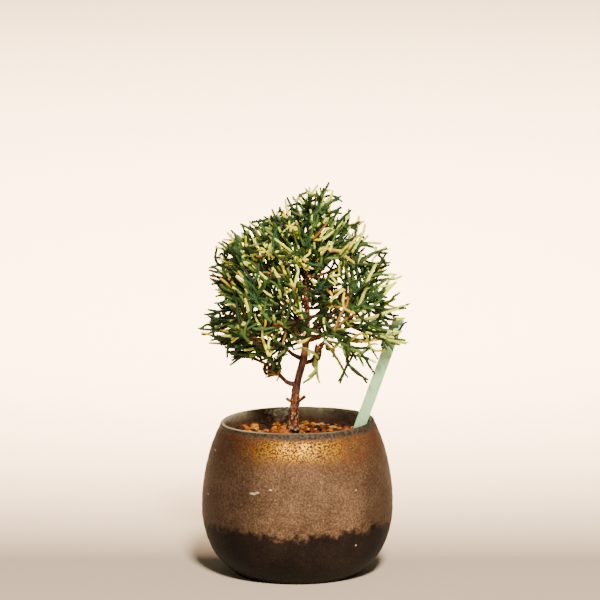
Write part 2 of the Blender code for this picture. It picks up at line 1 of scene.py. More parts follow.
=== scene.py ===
"""A miniature variegated juniper in a round stoneware pot, dressed for its looks.

Sizes are in millimetres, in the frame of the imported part, and meshes are made in metres. The tree is worked
out by the rule of its solids: boughs leave the trunk, a stem goes on from each, and twigs and fingers fill
the crown.
"""

import math

import bmesh
import bpy
import numpy as np
from mathutils import Matrix, Vector, noise


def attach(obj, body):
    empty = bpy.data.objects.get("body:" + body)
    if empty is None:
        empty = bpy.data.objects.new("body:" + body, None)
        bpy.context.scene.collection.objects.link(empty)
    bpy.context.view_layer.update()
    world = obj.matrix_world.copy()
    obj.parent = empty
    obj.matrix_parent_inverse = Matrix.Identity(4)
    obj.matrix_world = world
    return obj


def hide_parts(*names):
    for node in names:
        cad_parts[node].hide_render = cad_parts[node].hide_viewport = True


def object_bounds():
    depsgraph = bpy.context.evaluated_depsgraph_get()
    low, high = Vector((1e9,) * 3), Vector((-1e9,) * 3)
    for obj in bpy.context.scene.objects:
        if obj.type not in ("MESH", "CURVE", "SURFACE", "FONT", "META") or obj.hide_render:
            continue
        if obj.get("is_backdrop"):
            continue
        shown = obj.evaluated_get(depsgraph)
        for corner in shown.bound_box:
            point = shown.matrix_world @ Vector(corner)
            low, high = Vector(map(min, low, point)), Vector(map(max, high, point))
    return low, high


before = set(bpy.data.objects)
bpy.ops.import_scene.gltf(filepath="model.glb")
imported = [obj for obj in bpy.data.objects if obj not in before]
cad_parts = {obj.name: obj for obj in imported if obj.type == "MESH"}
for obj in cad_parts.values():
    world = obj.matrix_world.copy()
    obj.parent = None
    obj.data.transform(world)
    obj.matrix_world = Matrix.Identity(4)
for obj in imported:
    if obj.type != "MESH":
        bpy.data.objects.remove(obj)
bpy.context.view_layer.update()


# ---- the pot ---------------------------------------------------------------------------------------------
# Dark stoneware, thrown and then dipped in a speckled brown glaze down to a wavering line above the foot.
# The kiln left a bronze lustre on the shoulder and a bare grey lip. Three drain holes go through the floor.

MM = 0.001
# Outer outline as (radius, height), from the foot to the lip.
POT_OUTLINE = [
    (28.2, 0.7), (32.6, 4.3), (37.3, 9.7), (40.6, 16.7), (42.7, 25.5),
    (43.0, 33.5), (42.3, 42.0), (40.9, 50.0), (39.0, 57.5), (36.6, 64.0),
]
POT_FOOT_RADIUS = 27.4
# The foot's edge past that radius, and the round between wall and floor inside, as (reach, height).
POT_FOOT = [(-0.3, 0.0), (0.4, 0.2)]
POT_CORNER = [(2.2, 1.5), (6, 0)]
POT_WALL = 4.0
POT_WALL_AT_LIP = 2.6
POT_FLOOR = 5.0
LIP_RADIUS = 33.5
LIP_HEIGHT = 68.4
LIP_ROUND = 1.15
RIM_SLANT = 0.017
POT_COLUMNS = 160
DRAIN_RADIUS = 2.5
DRAIN_CIRCLE = 13.0
DRAINS = 3
DRAIN_SIDES = 32
# Steps up the outside, over the lip and down the inside.
PROFILE_STEPS = (56, 11, 34)
# How far the thrown wall is out of true: its ridges, its ovalness and lobes, the rim's wave, all in mm, and
# its dents as shares of its radius.
FINGER_RIDGES = 0.05
RIDGE_PITCH = 1.35
OVAL = 0.14
THREE_LOBES = 0.08
RIM_WAVE = 0.16
ROUGH_ABOVE = 8.0
COARSE_DENTS = 0.0022
FINE_DENTS = 0.0009
DENT_SCALE = 0.11
FINER = 5


def distance_along(line):
    """How far along a line each of its points lies."""
    return np.r_[0, np.cumsum(np.linalg.norm(np.diff(line, axis=0), axis=1))]


def smooth_line(knots, count):
    """Points evenly spaced along a smooth line through the knots. Columns past the third only follow."""
    knots = np.asarray(knots, float)
    ends = np.vstack([2 * knots[0] - knots[1], knots, 2 * knots[-1] - knots[-2]])
    t = np.linspace(0, 1, 16, endpoint=False)[:, None]
    fine = [(2 * b + (c - a) * t + (2 * a - 5 * b + 4 * c - d) * t ** 2
             + (3 * b - a - 3 * c + d) * t ** 3) / 2
            for a, b, c, d in zip(ends, ends[1:], ends[2:], ends[3:])]
    fine = np.vstack(fine + [knots[-1:]])
    run = distance_along(fine[:, :3])
    return np.column_stack([np.interp(np.linspace(0, run[-1], count), run, column) for column in fine.T])


def make_piece(name, corners, faces, finishes, finish_of=None, smooth=True):
    """A mesh from corners in millimetres and arrays of faces, each array with one count of sides."""
    mesh = bpy.data.meshes.new(name)
    mesh.vertices.add(len(corners))
    mesh.vertices.foreach_set("co", (np.asarray(corners) * MM).astype(np.float32).ravel())
    sides = np.concatenate([np.full(len(group), group.shape[1]) for group in faces])
    loops = np.concatenate([group.ravel() for group in faces])
    mesh.loops.add(len(loops))
    mesh.loops.foreach_set("vertex_index", loops.astype(np.int32))
    mesh.polygons.add(len(sides))
    mesh.polygons.foreach_set("loop_start", np.r_[0, np.cumsum(sides)[:-1]].astype(np.int32))
    if finish_of is not None:
        mesh.polygons.foreach_set("material_index", np.asarray(finish_of, np.int32))
    mesh.polygons.foreach_set("use_smooth", np.full(len(sides), smooth))
    for finish in finishes:
        mesh.materials.append(finish)
    mesh.update(calc_edges=True)
    mesh.validate()
    piece = bpy.data.objects.new(name, mesh)
    bpy.context.scene.collection.objects.link(piece)
    return piece


def tube_faces(rows, columns):
    """The quads between rings of corners, and the two closing faces."""
    start = np.arange(rows - 1)[:, None] * columns
    here, after = (start + np.arange(columns)).ravel(), (start + (np.arange(columns) + 1) % columns).ravel()
    ends = np.array([np.arange(columns)[::-1], (rows - 1) * columns + np.arange(columns)])
    return np.column_stack([here, after, after + columns, here + columns]), ends


def apply_modifiers(piece):
    """Make the piece's mesh the one that its modifiers give."""
    bpy.context.view_layer.update()
    mesh = bpy.data.meshes.new_from_object(piece.evaluated_get(bpy.context.evaluated_depsgraph_get()))
    piece.modifiers.clear()
    old, piece.data = piece.data, mesh
    bpy.data.meshes.remove(old)


def colour(red, green, blue):
    """A colour of 0 to 255 steps in linear light."""
    steps = np.array([red, green, blue]) / 255
    return (*np.where(steps <= 0.04045, steps / 12.92, ((steps + 0.055) / 1.055) ** 2.4), 1.0)


def new_finish(name, base, roughness, **fixed):
    """A Principled material of one plain colour, and its node tree and shader, for nodes to be added."""
    finish = bpy.data.materials.new(name)
    finish.use_nodes = True
    shader = finish.node_tree.nodes["Principled BSDF"]
    shader.inputs["Base Color"].default_value = base
    shader.inputs["Roughness"].default_value = roughness
    for socket, value in fixed.items():
        shader.inputs[socket.replace("_", " ")].default_value = value
    return finish, finish.node_tree, shader


def add(tree, kind, inputs=None, **settings):
    """A node with its settings. Each input is a value or the socket that feeds it."""
    node = tree.nodes.new(kind)
    for setting, value in settings.items():
        setattr(node, setting, value)
    for socket, value in (inputs or {}).items():
        if isinstance(value, bpy.types.NodeSocket):
            tree.links.new(value, node.inputs[socket])
        else:
            node.inputs[socket].default_value = value
    return node


def ramp(tree, value, low, high):
    """0 below low and 1 above high, eased between them."""
    return add(tree, "ShaderNodeMapRange", {"Value": value, "From Min": low, "From Max": high},
               interpolation_type="SMOOTHSTEP").outputs["Result"]


def over(tree, mask, under, top):
    """The top colour laid over the one under it, where the mask is 1."""
    return add(tree, "ShaderNodeMix", {0: mask, 6: under, 7: top}, data_type="RGBA").outputs[2]


def times(tree, one, other):
    return add(tree, "ShaderNodeMath", {0: one, 1: other}, operation="MULTIPLY").outputs[0]


def plus(tree, one, other):
    return add(tree, "ShaderNodeMath", {0: one, 1: other}, operation="ADD").outputs[0]


def tint(tree, under, mask, share, *steps):
    """A colour of 0 to 255 steps laid over the one under it, by this share of the mask."""
    return over(tree, times(tree, mask, share), under, colour(*steps))


def band(tree, value, rise, fall):
    """1 between a rise and a fall, each eased from its first value to its second."""
    return times(tree, ramp(tree, value, *rise), ramp(tree, value, *fall))


def rescaled(tree, value, low, high, start=0.0, end=1.0):
    """The value, which runs from start to end, drawn out to run from low to high."""
    return add(tree, "ShaderNodeMapRange", {
        "Value": value, "From Min": start, "From Max": end, "To Min": low, "To Max": high}).outputs["Result"]


def object_place(tree):
    """Where a point of the surface is, and that in its parts X, Y and Z, in metres."""
    place = add(tree, "ShaderNodeTexCoord").outputs["Object"]
    return place, add(tree, "ShaderNodeSeparateXYZ", {"Vector": place}).outputs


def mottle_group():
    """A soft, uneven mask: noise through the solid, 0 below its low value and 1 above its high one."""
    group = bpy.data.node_groups.new("mottle", "ShaderNodeTree")
    for name, value in (("Scale", 100.0), ("Detail", 3.0), ("Low", 0.4), ("High", 0.6),
                        ("Stretch", (1, 1, 1)), ("Shift", (0, 0, 0))):
        kind = "NodeSocketVector" if isinstance(value, tuple) else "NodeSocketFloat"
        group.interface.new_socket(name, in_out="INPUT", socket_type=kind).default_value = value
    group.interface.new_socket("Mask", in_out="OUTPUT", socket_type="NodeSocketFloat")
    given = add(group, "NodeGroupInput").outputs
    place = add(group, "ShaderNodeTexCoord").outputs["Object"]
    placed = add(group, "ShaderNodeMapping", {"Vector": place, "Scale": given["Stretch"],
                                              "Location": given["Shift"]}).outputs[0]
    cloud = add(group, "ShaderNodeTexNoise", {"Vector": placed, "Scale": given["Scale"],
                                              "Detail": given["Detail"], "Roughness": 0.6}).outputs["Fac"]
    add(group, "NodeGroupOutput", {"Mask": ramp(group, cloud, given["Low"], given["High"])})
    return group


MOTTLE = mottle_group()


def mottle(tree, scale, low, high, detail=3.0, stretch=(1, 1, 1), shift=(0, 0, 0)):
    """The mask of one mottle."""
    node = add(tree, "ShaderNodeGroup", node_tree=MOTTLE)
    for socket, value in (("Scale", scale), ("Low", low), ("High", high), ("Detail", detail),
                          ("Stretch", stretch), ("Shift", shift)):
        node.inputs[socket].default_value = value
    return node.outputs["Mask"]


def pot_radius(height):
    """The pot's outer radius at a height."""
    return np.interp(height, [z for _, z in POT_OUTLINE], [r for r, _ in POT_OUTLINE])


def pot_inside():
    """The inside of the pot's wall as (radius, height), from the foot up. The wall thins towards the lip."""
    heights = np.array([z for _, z in POT_OUTLINE])
    walls = np.interp(heights, (heights[-4], heights[-1]), (POT_WALL, POT_WALL_AT_LIP))
    return [(r - wall, z) for (r, z), wall in zip(POT_OUTLINE, walls) if z > POT_FLOOR + 1]


def pot_profile():
    """The pot's section as (radius, height), up the outside from the foot and down the inside."""
    steps_up, steps_over, steps_down = PROFILE_STEPS
    outside = smooth_line(POT_OUTLINE + [(LIP_RADIUS + LIP_ROUND, LIP_HEIGHT)], steps_up)
    turns = np.linspace(0, math.pi, steps_over)[1:-1]
    lip = np.column_stack([LIP_RADIUS + LIP_ROUND * np.cos(turns), LIP_HEIGHT + LIP_ROUND * np.sin(turns)])
    inner = pot_inside()
    inside = smooth_line([(LIP_RADIUS - LIP_ROUND, LIP_HEIGHT)] + inner[::-1], steps_down)
    foot = [(POT_FOOT_RADIUS + out, up) for out, up in POT_FOOT]
    corner = [(inner[0][0] - back, POT_FLOOR + up) for back, up in POT_CORNER]
    return np.vstack([foot, outside, lip, inside, corner])


def make_pot():
    """The thrown body: turned, a little out of true, ridged by the fingers, then drilled."""
    profile = pot_profile()
    turns = np.arange(POT_COLUMNS) * math.tau / POT_COLUMNS
    radius, height = (np.repeat(column[:, None], POT_COLUMNS, 1) for column in profile.T)
    share = np.clip(height / LIP_HEIGHT, 0, 1)
    ridges = FINGER_RIDGES * np.sin(height * RIDGE_PITCH + turns) * np.clip(share * 3, 0, 1)
    wobble = OVAL * np.sin(2 * turns + 0.6) * share ** 2 + THREE_LOBES * np.sin(3 * turns + 2.0) * share
    radius = radius + ridges + wobble
    corners = np.stack([radius * np.cos(turns), radius * np.sin(turns), height], 2)
    corners[..., 2] += corners[..., 0] * RIM_SLANT * share ** 2
    corners[..., 2] += RIM_WAVE * np.sin(3 * turns + 1.1) * share ** 8
    flat = corners.reshape(-1, 3)
    for corner in flat:
        if corner[2] > ROUGH_ABOVE:
            spot = Vector(corner) * DENT_SCALE
            corner[:2] *= 1 + COARSE_DENTS * noise.noise(spot) + FINE_DENTS * noise.noise(spot * FINER)
    quads, ends = tube_faces(len(profile), POT_COLUMNS)
    pot = make_piece("pot_body", flat, [quads, ends], [stoneware])
    for k in range(DRAINS):
        turn = math.tau * (k + 0.25) / DRAINS
        bpy.ops.mesh.primitive_cylinder_add(
            vertices=DRAIN_SIDES, radius=DRAIN_RADIUS * MM, depth=4 * POT_FLOOR * MM,
            location=(math.cos(turn) * DRAIN_CIRCLE * MM, math.sin(turn) * DRAIN_CIRCLE * MM, 0))
        drill = bpy.context.object
        hole = pot.modifiers.new("drain", "BOOLEAN")
        hole.object, hole.operation, hole.solver = drill, "DIFFERENCE", "EXACT"
        apply_modifiers(pot)
        bpy.data.objects.remove(drill, do_unlink=True)
    return pot


# Heights, and places across the pot, are in metres here.
SHOULDER = (0.044, 0.064)
LUSTRE_HEIGHTS = ((0.0535, 0.0630), (0.0675, 0.0645))
# Across the pot, the lustre is kept to the front middle as a painted highlight.
LUSTRE_HIGHLIGHT_ACROSS = ((-0.020, -0.001), (0.040, 0.014))
SCORCHED_HEIGHTS = (0.054, 0.062)
GLAZE_EDGE = (0.0220, 0.0175)
# Painted shade that darkens the bare clay towards the foot.
FOOT_PAINTED_SHADE = (0.012, 0.003)
LIP_EDGE = (0.0662, 0.0674)
# Painted shade down the pot's two sides, most at the left, and how it fades at the lip.
SIDE_SHADE_TONE = (0.36, 0.36, 0.38, 1.0)
SIDE_SHADE_LEFT = (-0.006, -0.030)
SIDE_SHADE_RIGHT = (0.020, 0.044)
SIDE_SHADE_FADES = (0.0650, 0.0675)
# The lip's top is paler, partly from wear and partly as a painted highlight.
WORN_LIT_HEIGHTS = (0.066, 0.068)
WORN_LIT_LEFT = (-0.006, -0.026)
WORN_LIT_RIGHT = (0.030, 0.012)
# Where the inner wall has a painted pool of light, where it is darker low down, and where it has painted
# shade.
PAINTED_LIGHT_ACROSS = ((-0.019, -0.012), (0.002, -0.003))
DARKER_LOW_HEIGHTS = (0.0668, 0.0640)
SHADED_ACROSS = (0.002, 0.026)
# Lime spots that the glaze drew off from, as (x, height, half width, half height) in mm.
POT_SPOTS = [
    (-19.6, 43.3, 1.7, 0.6), (-17.6, 43.9, 1.0, 0.4), (-11.8, 45.5, 0.7, 0.35), (-36.6, 58.2, 0.5, 0.4),
    (-39.8, 38.7, 0.4, 0.5), (26.0, 18.8, 0.45, 0.4), (26.0, 44.0, 0.35, 0.35), (-8.8, 63.0, 0.35, 0.35),
]

stoneware, tree, shader = new_finish("stoneware", colour(90, 64, 46), 0.6, Specular_IOR_Level=0.1)
place, spot = object_place(tree)
cloudy = mottle(tree, 60, 0.32, 0.7, 4, shift=(3, 1, 2))
pits = mottle(tree, 1250, 0.42, 0.58, 2)
blotches = mottle(tree, 420, 0.35, 0.68, 3)
flecks = mottle(tree, 1100, 0.60, 0.68, 2, shift=(1, 2, 3))
glaze = over(tree, cloudy, colour(104, 76, 52), colour(138, 104, 74))
glaze = tint(tree, glaze, ramp(tree, spot["Z"], *SHOULDER), 0.7, 108, 66, 32)
glaze = tint(tree, glaze, blotches, 0.3, 74, 53, 38)
glaze = tint(tree, glaze, pits, 0.6, 52, 36, 26)
glaze = tint(tree, glaze, flecks, 0.4, 170, 136, 100)
scorched = times(tree, ramp(tree, spot["Z"], *SCORCHED_HEIGHTS),
                 mottle(tree, 170, 0.45, 0.62, 4, shift=(2, 7, 5)))
glaze = tint(tree, glaze, scorched, 0.6, 116, 54, 26)

# The lustre on the shoulder, in grains among dark ones. It is kept to the front middle as a painted
# highlight, where the key lamp's highlight falls.
lustre_and_highlight = times(tree, band(tree, spot["Z"], *LUSTRE_HEIGHTS), mottle(tree, 130, 0.15, 0.5, 4, shift=(0, 5, 0)))
strayed = plus(tree, spot["X"], times(tree, mottle(tree, 75, 0.2, 0.8, 5, shift=(1, 2, 3)), 12 * MM))
lustre_and_highlight = times(tree, lustre_and_highlight, band(tree, strayed, *LUSTRE_HIGHLIGHT_ACROSS))
glitter = mottle(tree, 1350, 0.44, 0.56, 2)
gold = over(tree, glitter, colour(72, 38, 14), colour(212, 151, 28))
pot_tone = over(tree, times(tree, lustre_and_highlight, 0.9), glaze, gold)

# The bare clay below the glaze's ragged edge, its dark tone deepened by painted shade and darkest towards the
# foot, and the lime spots.
bare = over(tree, cloudy, colour(19, 12, 9), colour(44, 31, 24))
bare = tint(tree, bare, pits, 0.4, 12, 9, 8)
bare = tint(tree, bare, flecks, 0.2, 80, 66, 54)
# Painted shade, darkest at the foot.
bare = tint(tree, bare, ramp(tree, spot["Z"], *FOOT_PAINTED_SHADE), 0.7, 10, 8, 7)
wander = times(tree, mottle(tree, 42, 0.2, 0.8, 5), -5 * MM)
ragged = plus(tree, wander, times(tree, mottle(tree, 210, 0.25, 0.75, 6), -5.5 * MM))
pot_tone = over(tree, ramp(tree, plus(tree, spot["Z"], ragged), *GLAZE_EDGE), pot_tone, bare)
for x, height, wide, high in POT_SPOTS:
    y, deep = -math.sqrt(pot_radius(height) ** 2 - x ** 2), 1.0 + wide
    near = add(tree, "ShaderNodeMapping", {
        "Vector": place, "Location": (-x / wide, -y / deep, -height / high),
        "Scale": (1 / (wide * MM), 1 / (deep * MM), 1 / (high * MM))}).outputs[0]
    reach = add(tree, "ShaderNodeVectorMath", {0: near}, operation="LENGTH").outputs["Value"]
    reach = plus(tree, reach, times(tree, flecks, 0.4))
    pot_tone = tint(tree, pot_tone, ramp(tree, reach, 1.2, 0.6), 0.8, 226, 208, 178)

# The bare lip, and painted shade: darker round the two sides, and most at the left.
lip_edge = plus(tree, spot["Z"], times(tree, blotches, -0.9 * MM))
lip_tone = over(tree, mottle(tree, 800, 0.35, 0.65, 3), colour(44, 36, 28), colour(84, 72, 55))
pot_tone = over(tree, ramp(tree, lip_edge, *LIP_EDGE), pot_tone, lip_tone)
# Painted shade on the two sides, strongest at the left.
painted_side_shade = times(tree, ramp(tree, spot["X"], *SIDE_SHADE_LEFT),
                rescaled(tree, spot["Z"], 1.0, 0.62, *SIDE_SHADE_FADES))
painted_side_shade = plus(tree, painted_side_shade, times(tree, ramp(tree, spot["X"], *SIDE_SHADE_RIGHT), 0.95))
pot_tone = add(tree, "ShaderNodeMix", {0: painted_side_shade, 6: pot_tone, 7: SIDE_SHADE_TONE},
               data_type="RGBA", blend_type="MULTIPLY").outputs[2]
normal = add(tree, "ShaderNodeNewGeometry").outputs["Normal"]
upward = add(tree, "ShaderNodeSeparateXYZ", {"Vector": normal}).outputs["Z"]
# The top of the lip is paler, partly from wear and partly as a painted highlight along the rim, most at the
# left.
worn_lit_rim = times(tree, ramp(tree, upward, 0.6, 0.97), ramp(tree, spot["Z"], *WORN_LIT_HEIGHTS))
worn_lit_rim = times(tree, worn_lit_rim, plus(tree, times(tree, ramp(tree, spot["X"], *WORN_LIT_LEFT), 0.55),
                              times(tree, ramp(tree, spot["X"], *WORN_LIT_RIGHT), 0.3)))
pot_tone = over(tree, worn_lit_rim, pot_tone, colour(190, 168, 128))

# The unglazed wall inside: grey, with a white painted pool of light left of the trunk, painted shade at the
# right, and darker and browner low down.
level = add(tree, "ShaderNodeVectorMath", {0: place, 1: (1, 1, 0)}, operation="MULTIPLY").outputs[0]
outward = add(tree, "ShaderNodeVectorMath", {0: normal, 1: level}, operation="DOT_PRODUCT").outputs["Value"]
inner_tone = over(tree, cloudy, colour(122, 110, 84), colour(176, 162, 128))
inner_tone = tint(tree, inner_tone, blotches, 0.5, 92, 80, 60)
# A speckled painted pool of light on the inner wall, left of the trunk.
painted_light_patch = times(tree, mottle(tree, 420, 0.52, 0.60, 4, shift=(6, 2, 2)),
               band(tree, spot["X"], *PAINTED_LIGHT_ACROSS))
inner_tone = tint(tree, inner_tone, painted_light_patch, 0.6, 236, 230, 206)
# The inner wall is darker and browner low down, near the gravel.
inner_tone = over(tree, times(tree, ramp(tree, spot["Z"], *DARKER_LOW_HEIGHTS), 0.75), inner_tone,
                  over(tree, pits, colour(104, 60, 36), colour(58, 34, 24)))
inner_tone = over(tree, times(tree, ramp(tree, spot["X"], *SHADED_ACROSS), 0.7), inner_tone,
                  over(tree, blotches, colour(74, 56, 44), colour(36, 27, 22)))
pot_tone = over(tree, ramp(tree, outward, 0.0, -0.012), pot_tone, inner_tone)

metal = times(tree, times(tree, lustre_and_highlight, glitter), times(tree, ramp(tree, outward, -0.005, 0.005), 0.9))
relief = plus(tree, times(tree, pits, 0.7), times(tree, blotches, 0.5))
bump = add(tree, "ShaderNodeBump", {"Height": relief, "Strength": 0.6, "Distance": 0.14 * MM})
tree.links.new(pot_tone, shader.inputs["Base Color"])
tree.links.new(metal, shader.inputs["Metallic"])
tree.links.new(rescaled(tree, metal, 0.62, 0.42), shader.inputs["Roughness"])
tree.links.new(bump.outputs[0], shader.inputs["Normal"])

pot = make_pot()
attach(pot, "root")
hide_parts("pot")


# ---- the gravel ------------------------------------------------------------------------------------------
# Baked clay granules, sieved to 3 to 4.5 mm, loose and slightly heaped round the trunk's foot. Most are
# orange and rust, some tan or nearly black, with a few pale crumbs of dry moss by the bark.

SEED = 7
SOIL_SEAT_HEIGHT = 65.2
SOIL_SEAT_RADIUS = 5.0
SOIL_EDGE_HEIGHT = 62.2
SOIL_GAP = 0.3
SOIL_COLUMNS = 96
SOIL_ROWS = (26, 30)
SOIL_SINK = 1.6
SOIL_LUMPS = 0.7
SOIL_LUMP_SCALE = 0.6
GRAIN_SIZES = (1.0, 2.5)
SMALLER_GRAINS = 1.3
GRAIN_REACH = 36.2
GRAIN_CROWDING = 0.76
GRAIN_SINK = (-1.1, -0.1)
GRAIN_TRIES = 14000
GRAIN_CUTS = 8
GRAIN_CUT_DEPTH = (0.58, 0.9)
GRAIN_DENTS = 0.10
GRAIN_DENT_SCALE = 2.6
# The least and the most that a grain is drawn out along, across and up.
GRAIN_DRAWN = ((0.9, 0.75, 0.62), (1.15, 1.0, 0.85))
GRAIN_TILT = 0.6
GRAIN_STAIN = 0.62
CRUMBS = 46
CRUMB_SIZES = (0.35, 0.85)
CRUMB_SPREAD = 1.6
CRUMB_RISE = (0.4, 1.2)
CRUMB_TONES = ["clay_pale", "clay_tan", "clay_brown"]
TRUNK_FOOT = (-1.9, 0.0)
TRUNK_FOOT_RADIUS = 3.1
LABEL_KEEPS_CLEAR = (3.2, 0.6)
# name: (colour, share of the grains)
GRAIN_TONES = {
    "clay_orange": ((184, 96, 18), 0.27), "clay_rust": ((110, 46, 15), 0.27),
    "clay_tan": ((198, 136, 46), 0.14), "clay_brown": ((64, 32, 17), 0.20),
    "clay_dark": ((27, 17, 12), 0.10), "clay_pale": ((176, 150, 98), 0.02),
}


def soil_height(x, y):
    """The top of the packed gravel under the loose grains."""
    radius = math.hypot(x, y)
    edge = pot_radius(SOIL_EDGE_HEIGHT) - POT_WALL
    return float(np.interp(radius, (SOIL_SEAT_RADIUS, edge), (SOIL_SEAT_HEIGHT, SOIL_EDGE_HEIGHT)))


def make_soil():
    """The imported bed: a turned plug with a lumpy top, a little clear of the pot's wall."""
    wall = [(r - SOIL_GAP, z) for r, z in pot_inside() if z < SOIL_EDGE_HEIGHT - 2]
    foot, edge = (wall[0][0] - 4, POT_FLOOR + 0.6), (wall[-1][0] - 0.6, SOIL_EDGE_HEIGHT - 1.4)
    side = smooth_line([foot, *wall, edge], SOIL_ROWS[0])
    top = np.linspace(side[-1][0], 0.4, SOIL_ROWS[1])
    rings = np.vstack([side, [(r, soil_height(r, 0) - SOIL_SINK) for r in top]])
    turns = np.arange(SOIL_COLUMNS) * math.tau / SOIL_COLUMNS
    corners = np.stack([rings[:, :1] * np.cos(turns), rings[:, :1] * np.sin(turns),
                        np.repeat(rings[:, 1:], SOIL_COLUMNS, 1)], 2)
    for corner in corners[len(side):].reshape(-1, 3):
        corner[2] += SOIL_LUMPS * noise.noise(Vector(corner) * SOIL_LUMP_SCALE)
    quads, ends = tube_faces(len(rings), SOIL_COLUMNS)
    return make_piece("gravel_bed", corners.reshape(-1, 3), [quads, ends], [soil_dark])


def ball(subdivisions):
    """The corners and triangles of a round ball of radius 1."""
    shape = bmesh.new()
    bmesh.ops.create_icosphere(shape, subdivisions=subdivisions, radius=1)
    corners = np.array([corner.co for corner in shape.verts])
    faces = np.array([[corner.index for corner in face.verts] for face in shape.faces])
    shape.free()
    return corners, faces


def broken_grain(rng, corners):
    """A ball broken by a few flat cuts, flattened and turned at random."""
    shape = corners.copy()
    for _ in range(GRAIN_CUTS):
        cut = rng.normal(size=3)
        cut /= np.linalg.norm(cut)
        depth = rng.uniform(*GRAIN_CUT_DEPTH)
        shape -= np.maximum(shape @ cut - depth, 0)[:, None] * cut
    shift = Vector(rng.uniform(-50, 50, 3))
    shape *= np.array([1 + GRAIN_DENTS * noise.noise(Vector(corner) * GRAIN_DENT_SCALE + shift)
                       for corner in corners])[:, None]
    shape *= rng.uniform(*GRAIN_DRAWN)
    turn = Matrix.Rotation(rng.uniform(0, math.tau), 3, "Z")
    turn = turn @ Matrix.Rotation(rng.uniform(-GRAIN_TILT, GRAIN_TILT), 3, "X")
    return shape @ np.array(turn).T


def grain_places(rng):
    """Places on the bed for the loose grains, clear of the trunk's foot, the label and the wall."""
    places = []
    for _ in range(GRAIN_TRIES):
        size = np.interp(rng.uniform() ** SMALLER_GRAINS, (0, 1), GRAIN_SIZES)
        reach = GRAIN_REACH - size * 0.8
        radius, turn = reach * math.sqrt(rng.uniform()), rng.uniform(0, math.tau)
        x, y = radius * math.cos(turn), radius * math.sin(turn)
        if math.hypot(x - TRUNK_FOOT[0], y - TRUNK_FOOT[1]) < TRUNK_FOOT_RADIUS + size * 0.7:
            continue
        if (abs(x - LABEL_AT_SOIL[0]) < LABEL_KEEPS_CLEAR[0] + size
                and abs(y - LABEL_AT_SOIL[1]) < LABEL_KEEPS_CLEAR[1] + size):
            continue
        if all(math.hypot(x - a, y - b) > (size + other) * GRAIN_CROWDING for a, b, other in places):
            places.append((x, y, size))
    return places


def make_grains():
    """All the loose grains, and the crumbs round the trunk's foot, as one mesh."""
    rng = np.random.default_rng(SEED)
    tones = list(GRAIN_TONES)
    shares = np.array([share for _, share in GRAIN_TONES.values()])
    laid = []

    def lay(shape, x, y, size, sink):
        grain = broken_grain(rng, shape) * size
        laid.append(grain + (x, y, soil_height(x, y) + rng.uniform(*sink)))

    all_faces, finish_of = [], []
    grain, grain_faces = ball(3)
    for x, y, size in grain_places(rng):
        lay(grain, x, y, size, GRAIN_SINK)
        all_faces.append(grain_faces)
        finish_of.append(rng.choice(len(tones), p=shares / shares.sum()))
    crumb, crumb_faces = ball(2)
    for _ in range(CRUMBS):
        radius, turn = TRUNK_FOOT_RADIUS + rng.exponential(CRUMB_SPREAD), rng.uniform(0, math.tau)
        x, y = TRUNK_FOOT[0] + radius * math.cos(turn), TRUNK_FOOT[1] + radius * math.sin(turn)
        lay(crumb, x, y, rng.uniform(*CRUMB_SIZES), CRUMB_RISE)
        all_faces.append(crumb_faces)
        finish_of.append(tones.index(rng.choice(CRUMB_TONES)))
    starts = np.cumsum([0] + [len(corners) for corners in laid])
    finishes = []
    for tone, (steps, _) in GRAIN_TONES.items():
        finish, tree, shader = new_finish(tone, colour(*steps), 0.92, Specular_IOR_Level=0.2)
        stain = over(tree, mottle(tree, 700, 0.35, 0.7, 4), colour(*steps),
                     colour(*[GRAIN_STAIN * part for part in steps]))
        tree.links.new(stain, shader.inputs["Base Color"])
        finishes.append(finish)
    faces = np.vstack([group + start for group, start in zip(all_faces, starts)])
    return make_piece("gravel_grains", np.vstack(laid), [faces], finishes,
                      np.repeat(finish_of, [len(group) for group in all_faces]), smooth=False)


LABEL_FOOT = (22.3, 3.0, 50.0)
LABEL_LEAN_DEG = 20.0
LABEL_BACK_LEAN_DEG = 3.0
LABEL_SUNK = SOIL_EDGE_HEIGHT - LABEL_FOOT[2]
LABEL_AT_SOIL = (LABEL_FOOT[0] + LABEL_SUNK * math.tan(math.radians(LABEL_LEAN_DEG)),
                 LABEL_FOOT[1] + LABEL_SUNK * math.tan(math.radians(LABEL_BACK_LEAN_DEG)))

soil_dark, tree, shader = new_finish("soil_dark", colour(34, 20, 13), 0.95, Specular_IOR_Level=0.15)
tree.links.new(over(tree, mottle(tree, 500, 0.35, 0.7, 4), colour(22, 13, 9), colour(66, 34, 18)),
               shader.inputs["Base Color"])
soil = make_soil()
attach(soil, "root")
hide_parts("gravel")
grains = make_grains()
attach(grains, "root")


# ---- the label -------------------------------------------------------------------------------------------
# A blank plant label: one strip stamped from pale green plastic, its top corners rounded, pushed into the
# gravel by the wall. It leans out, has bowed a little, and is grubby where it meets the soil.

LABEL_WIDTH = 5.2
LABEL_THICKNESS = 0.7
LABEL_LENGTH = 69.0
LABEL_TURN_DEG = 15.0
LABEL_CORNER = 0.9
LABEL_EDGE = 0.13
LABEL_BOW = 0.35
LABEL_ROWS = 60
# Where it is grubby, in metres.
GRUBBY_HEIGHTS = (0.071, 0.0625)
# How far down the top edge's rounding steps.
CORNER_STEPS = np.array([0.0, 0.05, 0.15, 0.3, 0.5, 0.7, LABEL_CORNER])
UP = np.array([0.0, 0.0, 1.0])


def unit(vector):
    return vector / np.linalg.norm(vector)


def turned(vector, axis, degrees):
    """The vector turned about a unit axis."""
    angle = math.radians(degrees)
    return (vector * math.cos(angle) + np.cross(axis, vector) * math.sin(angle)
            + axis * axis.dot(vector) * (1 - math.cos(angle)))


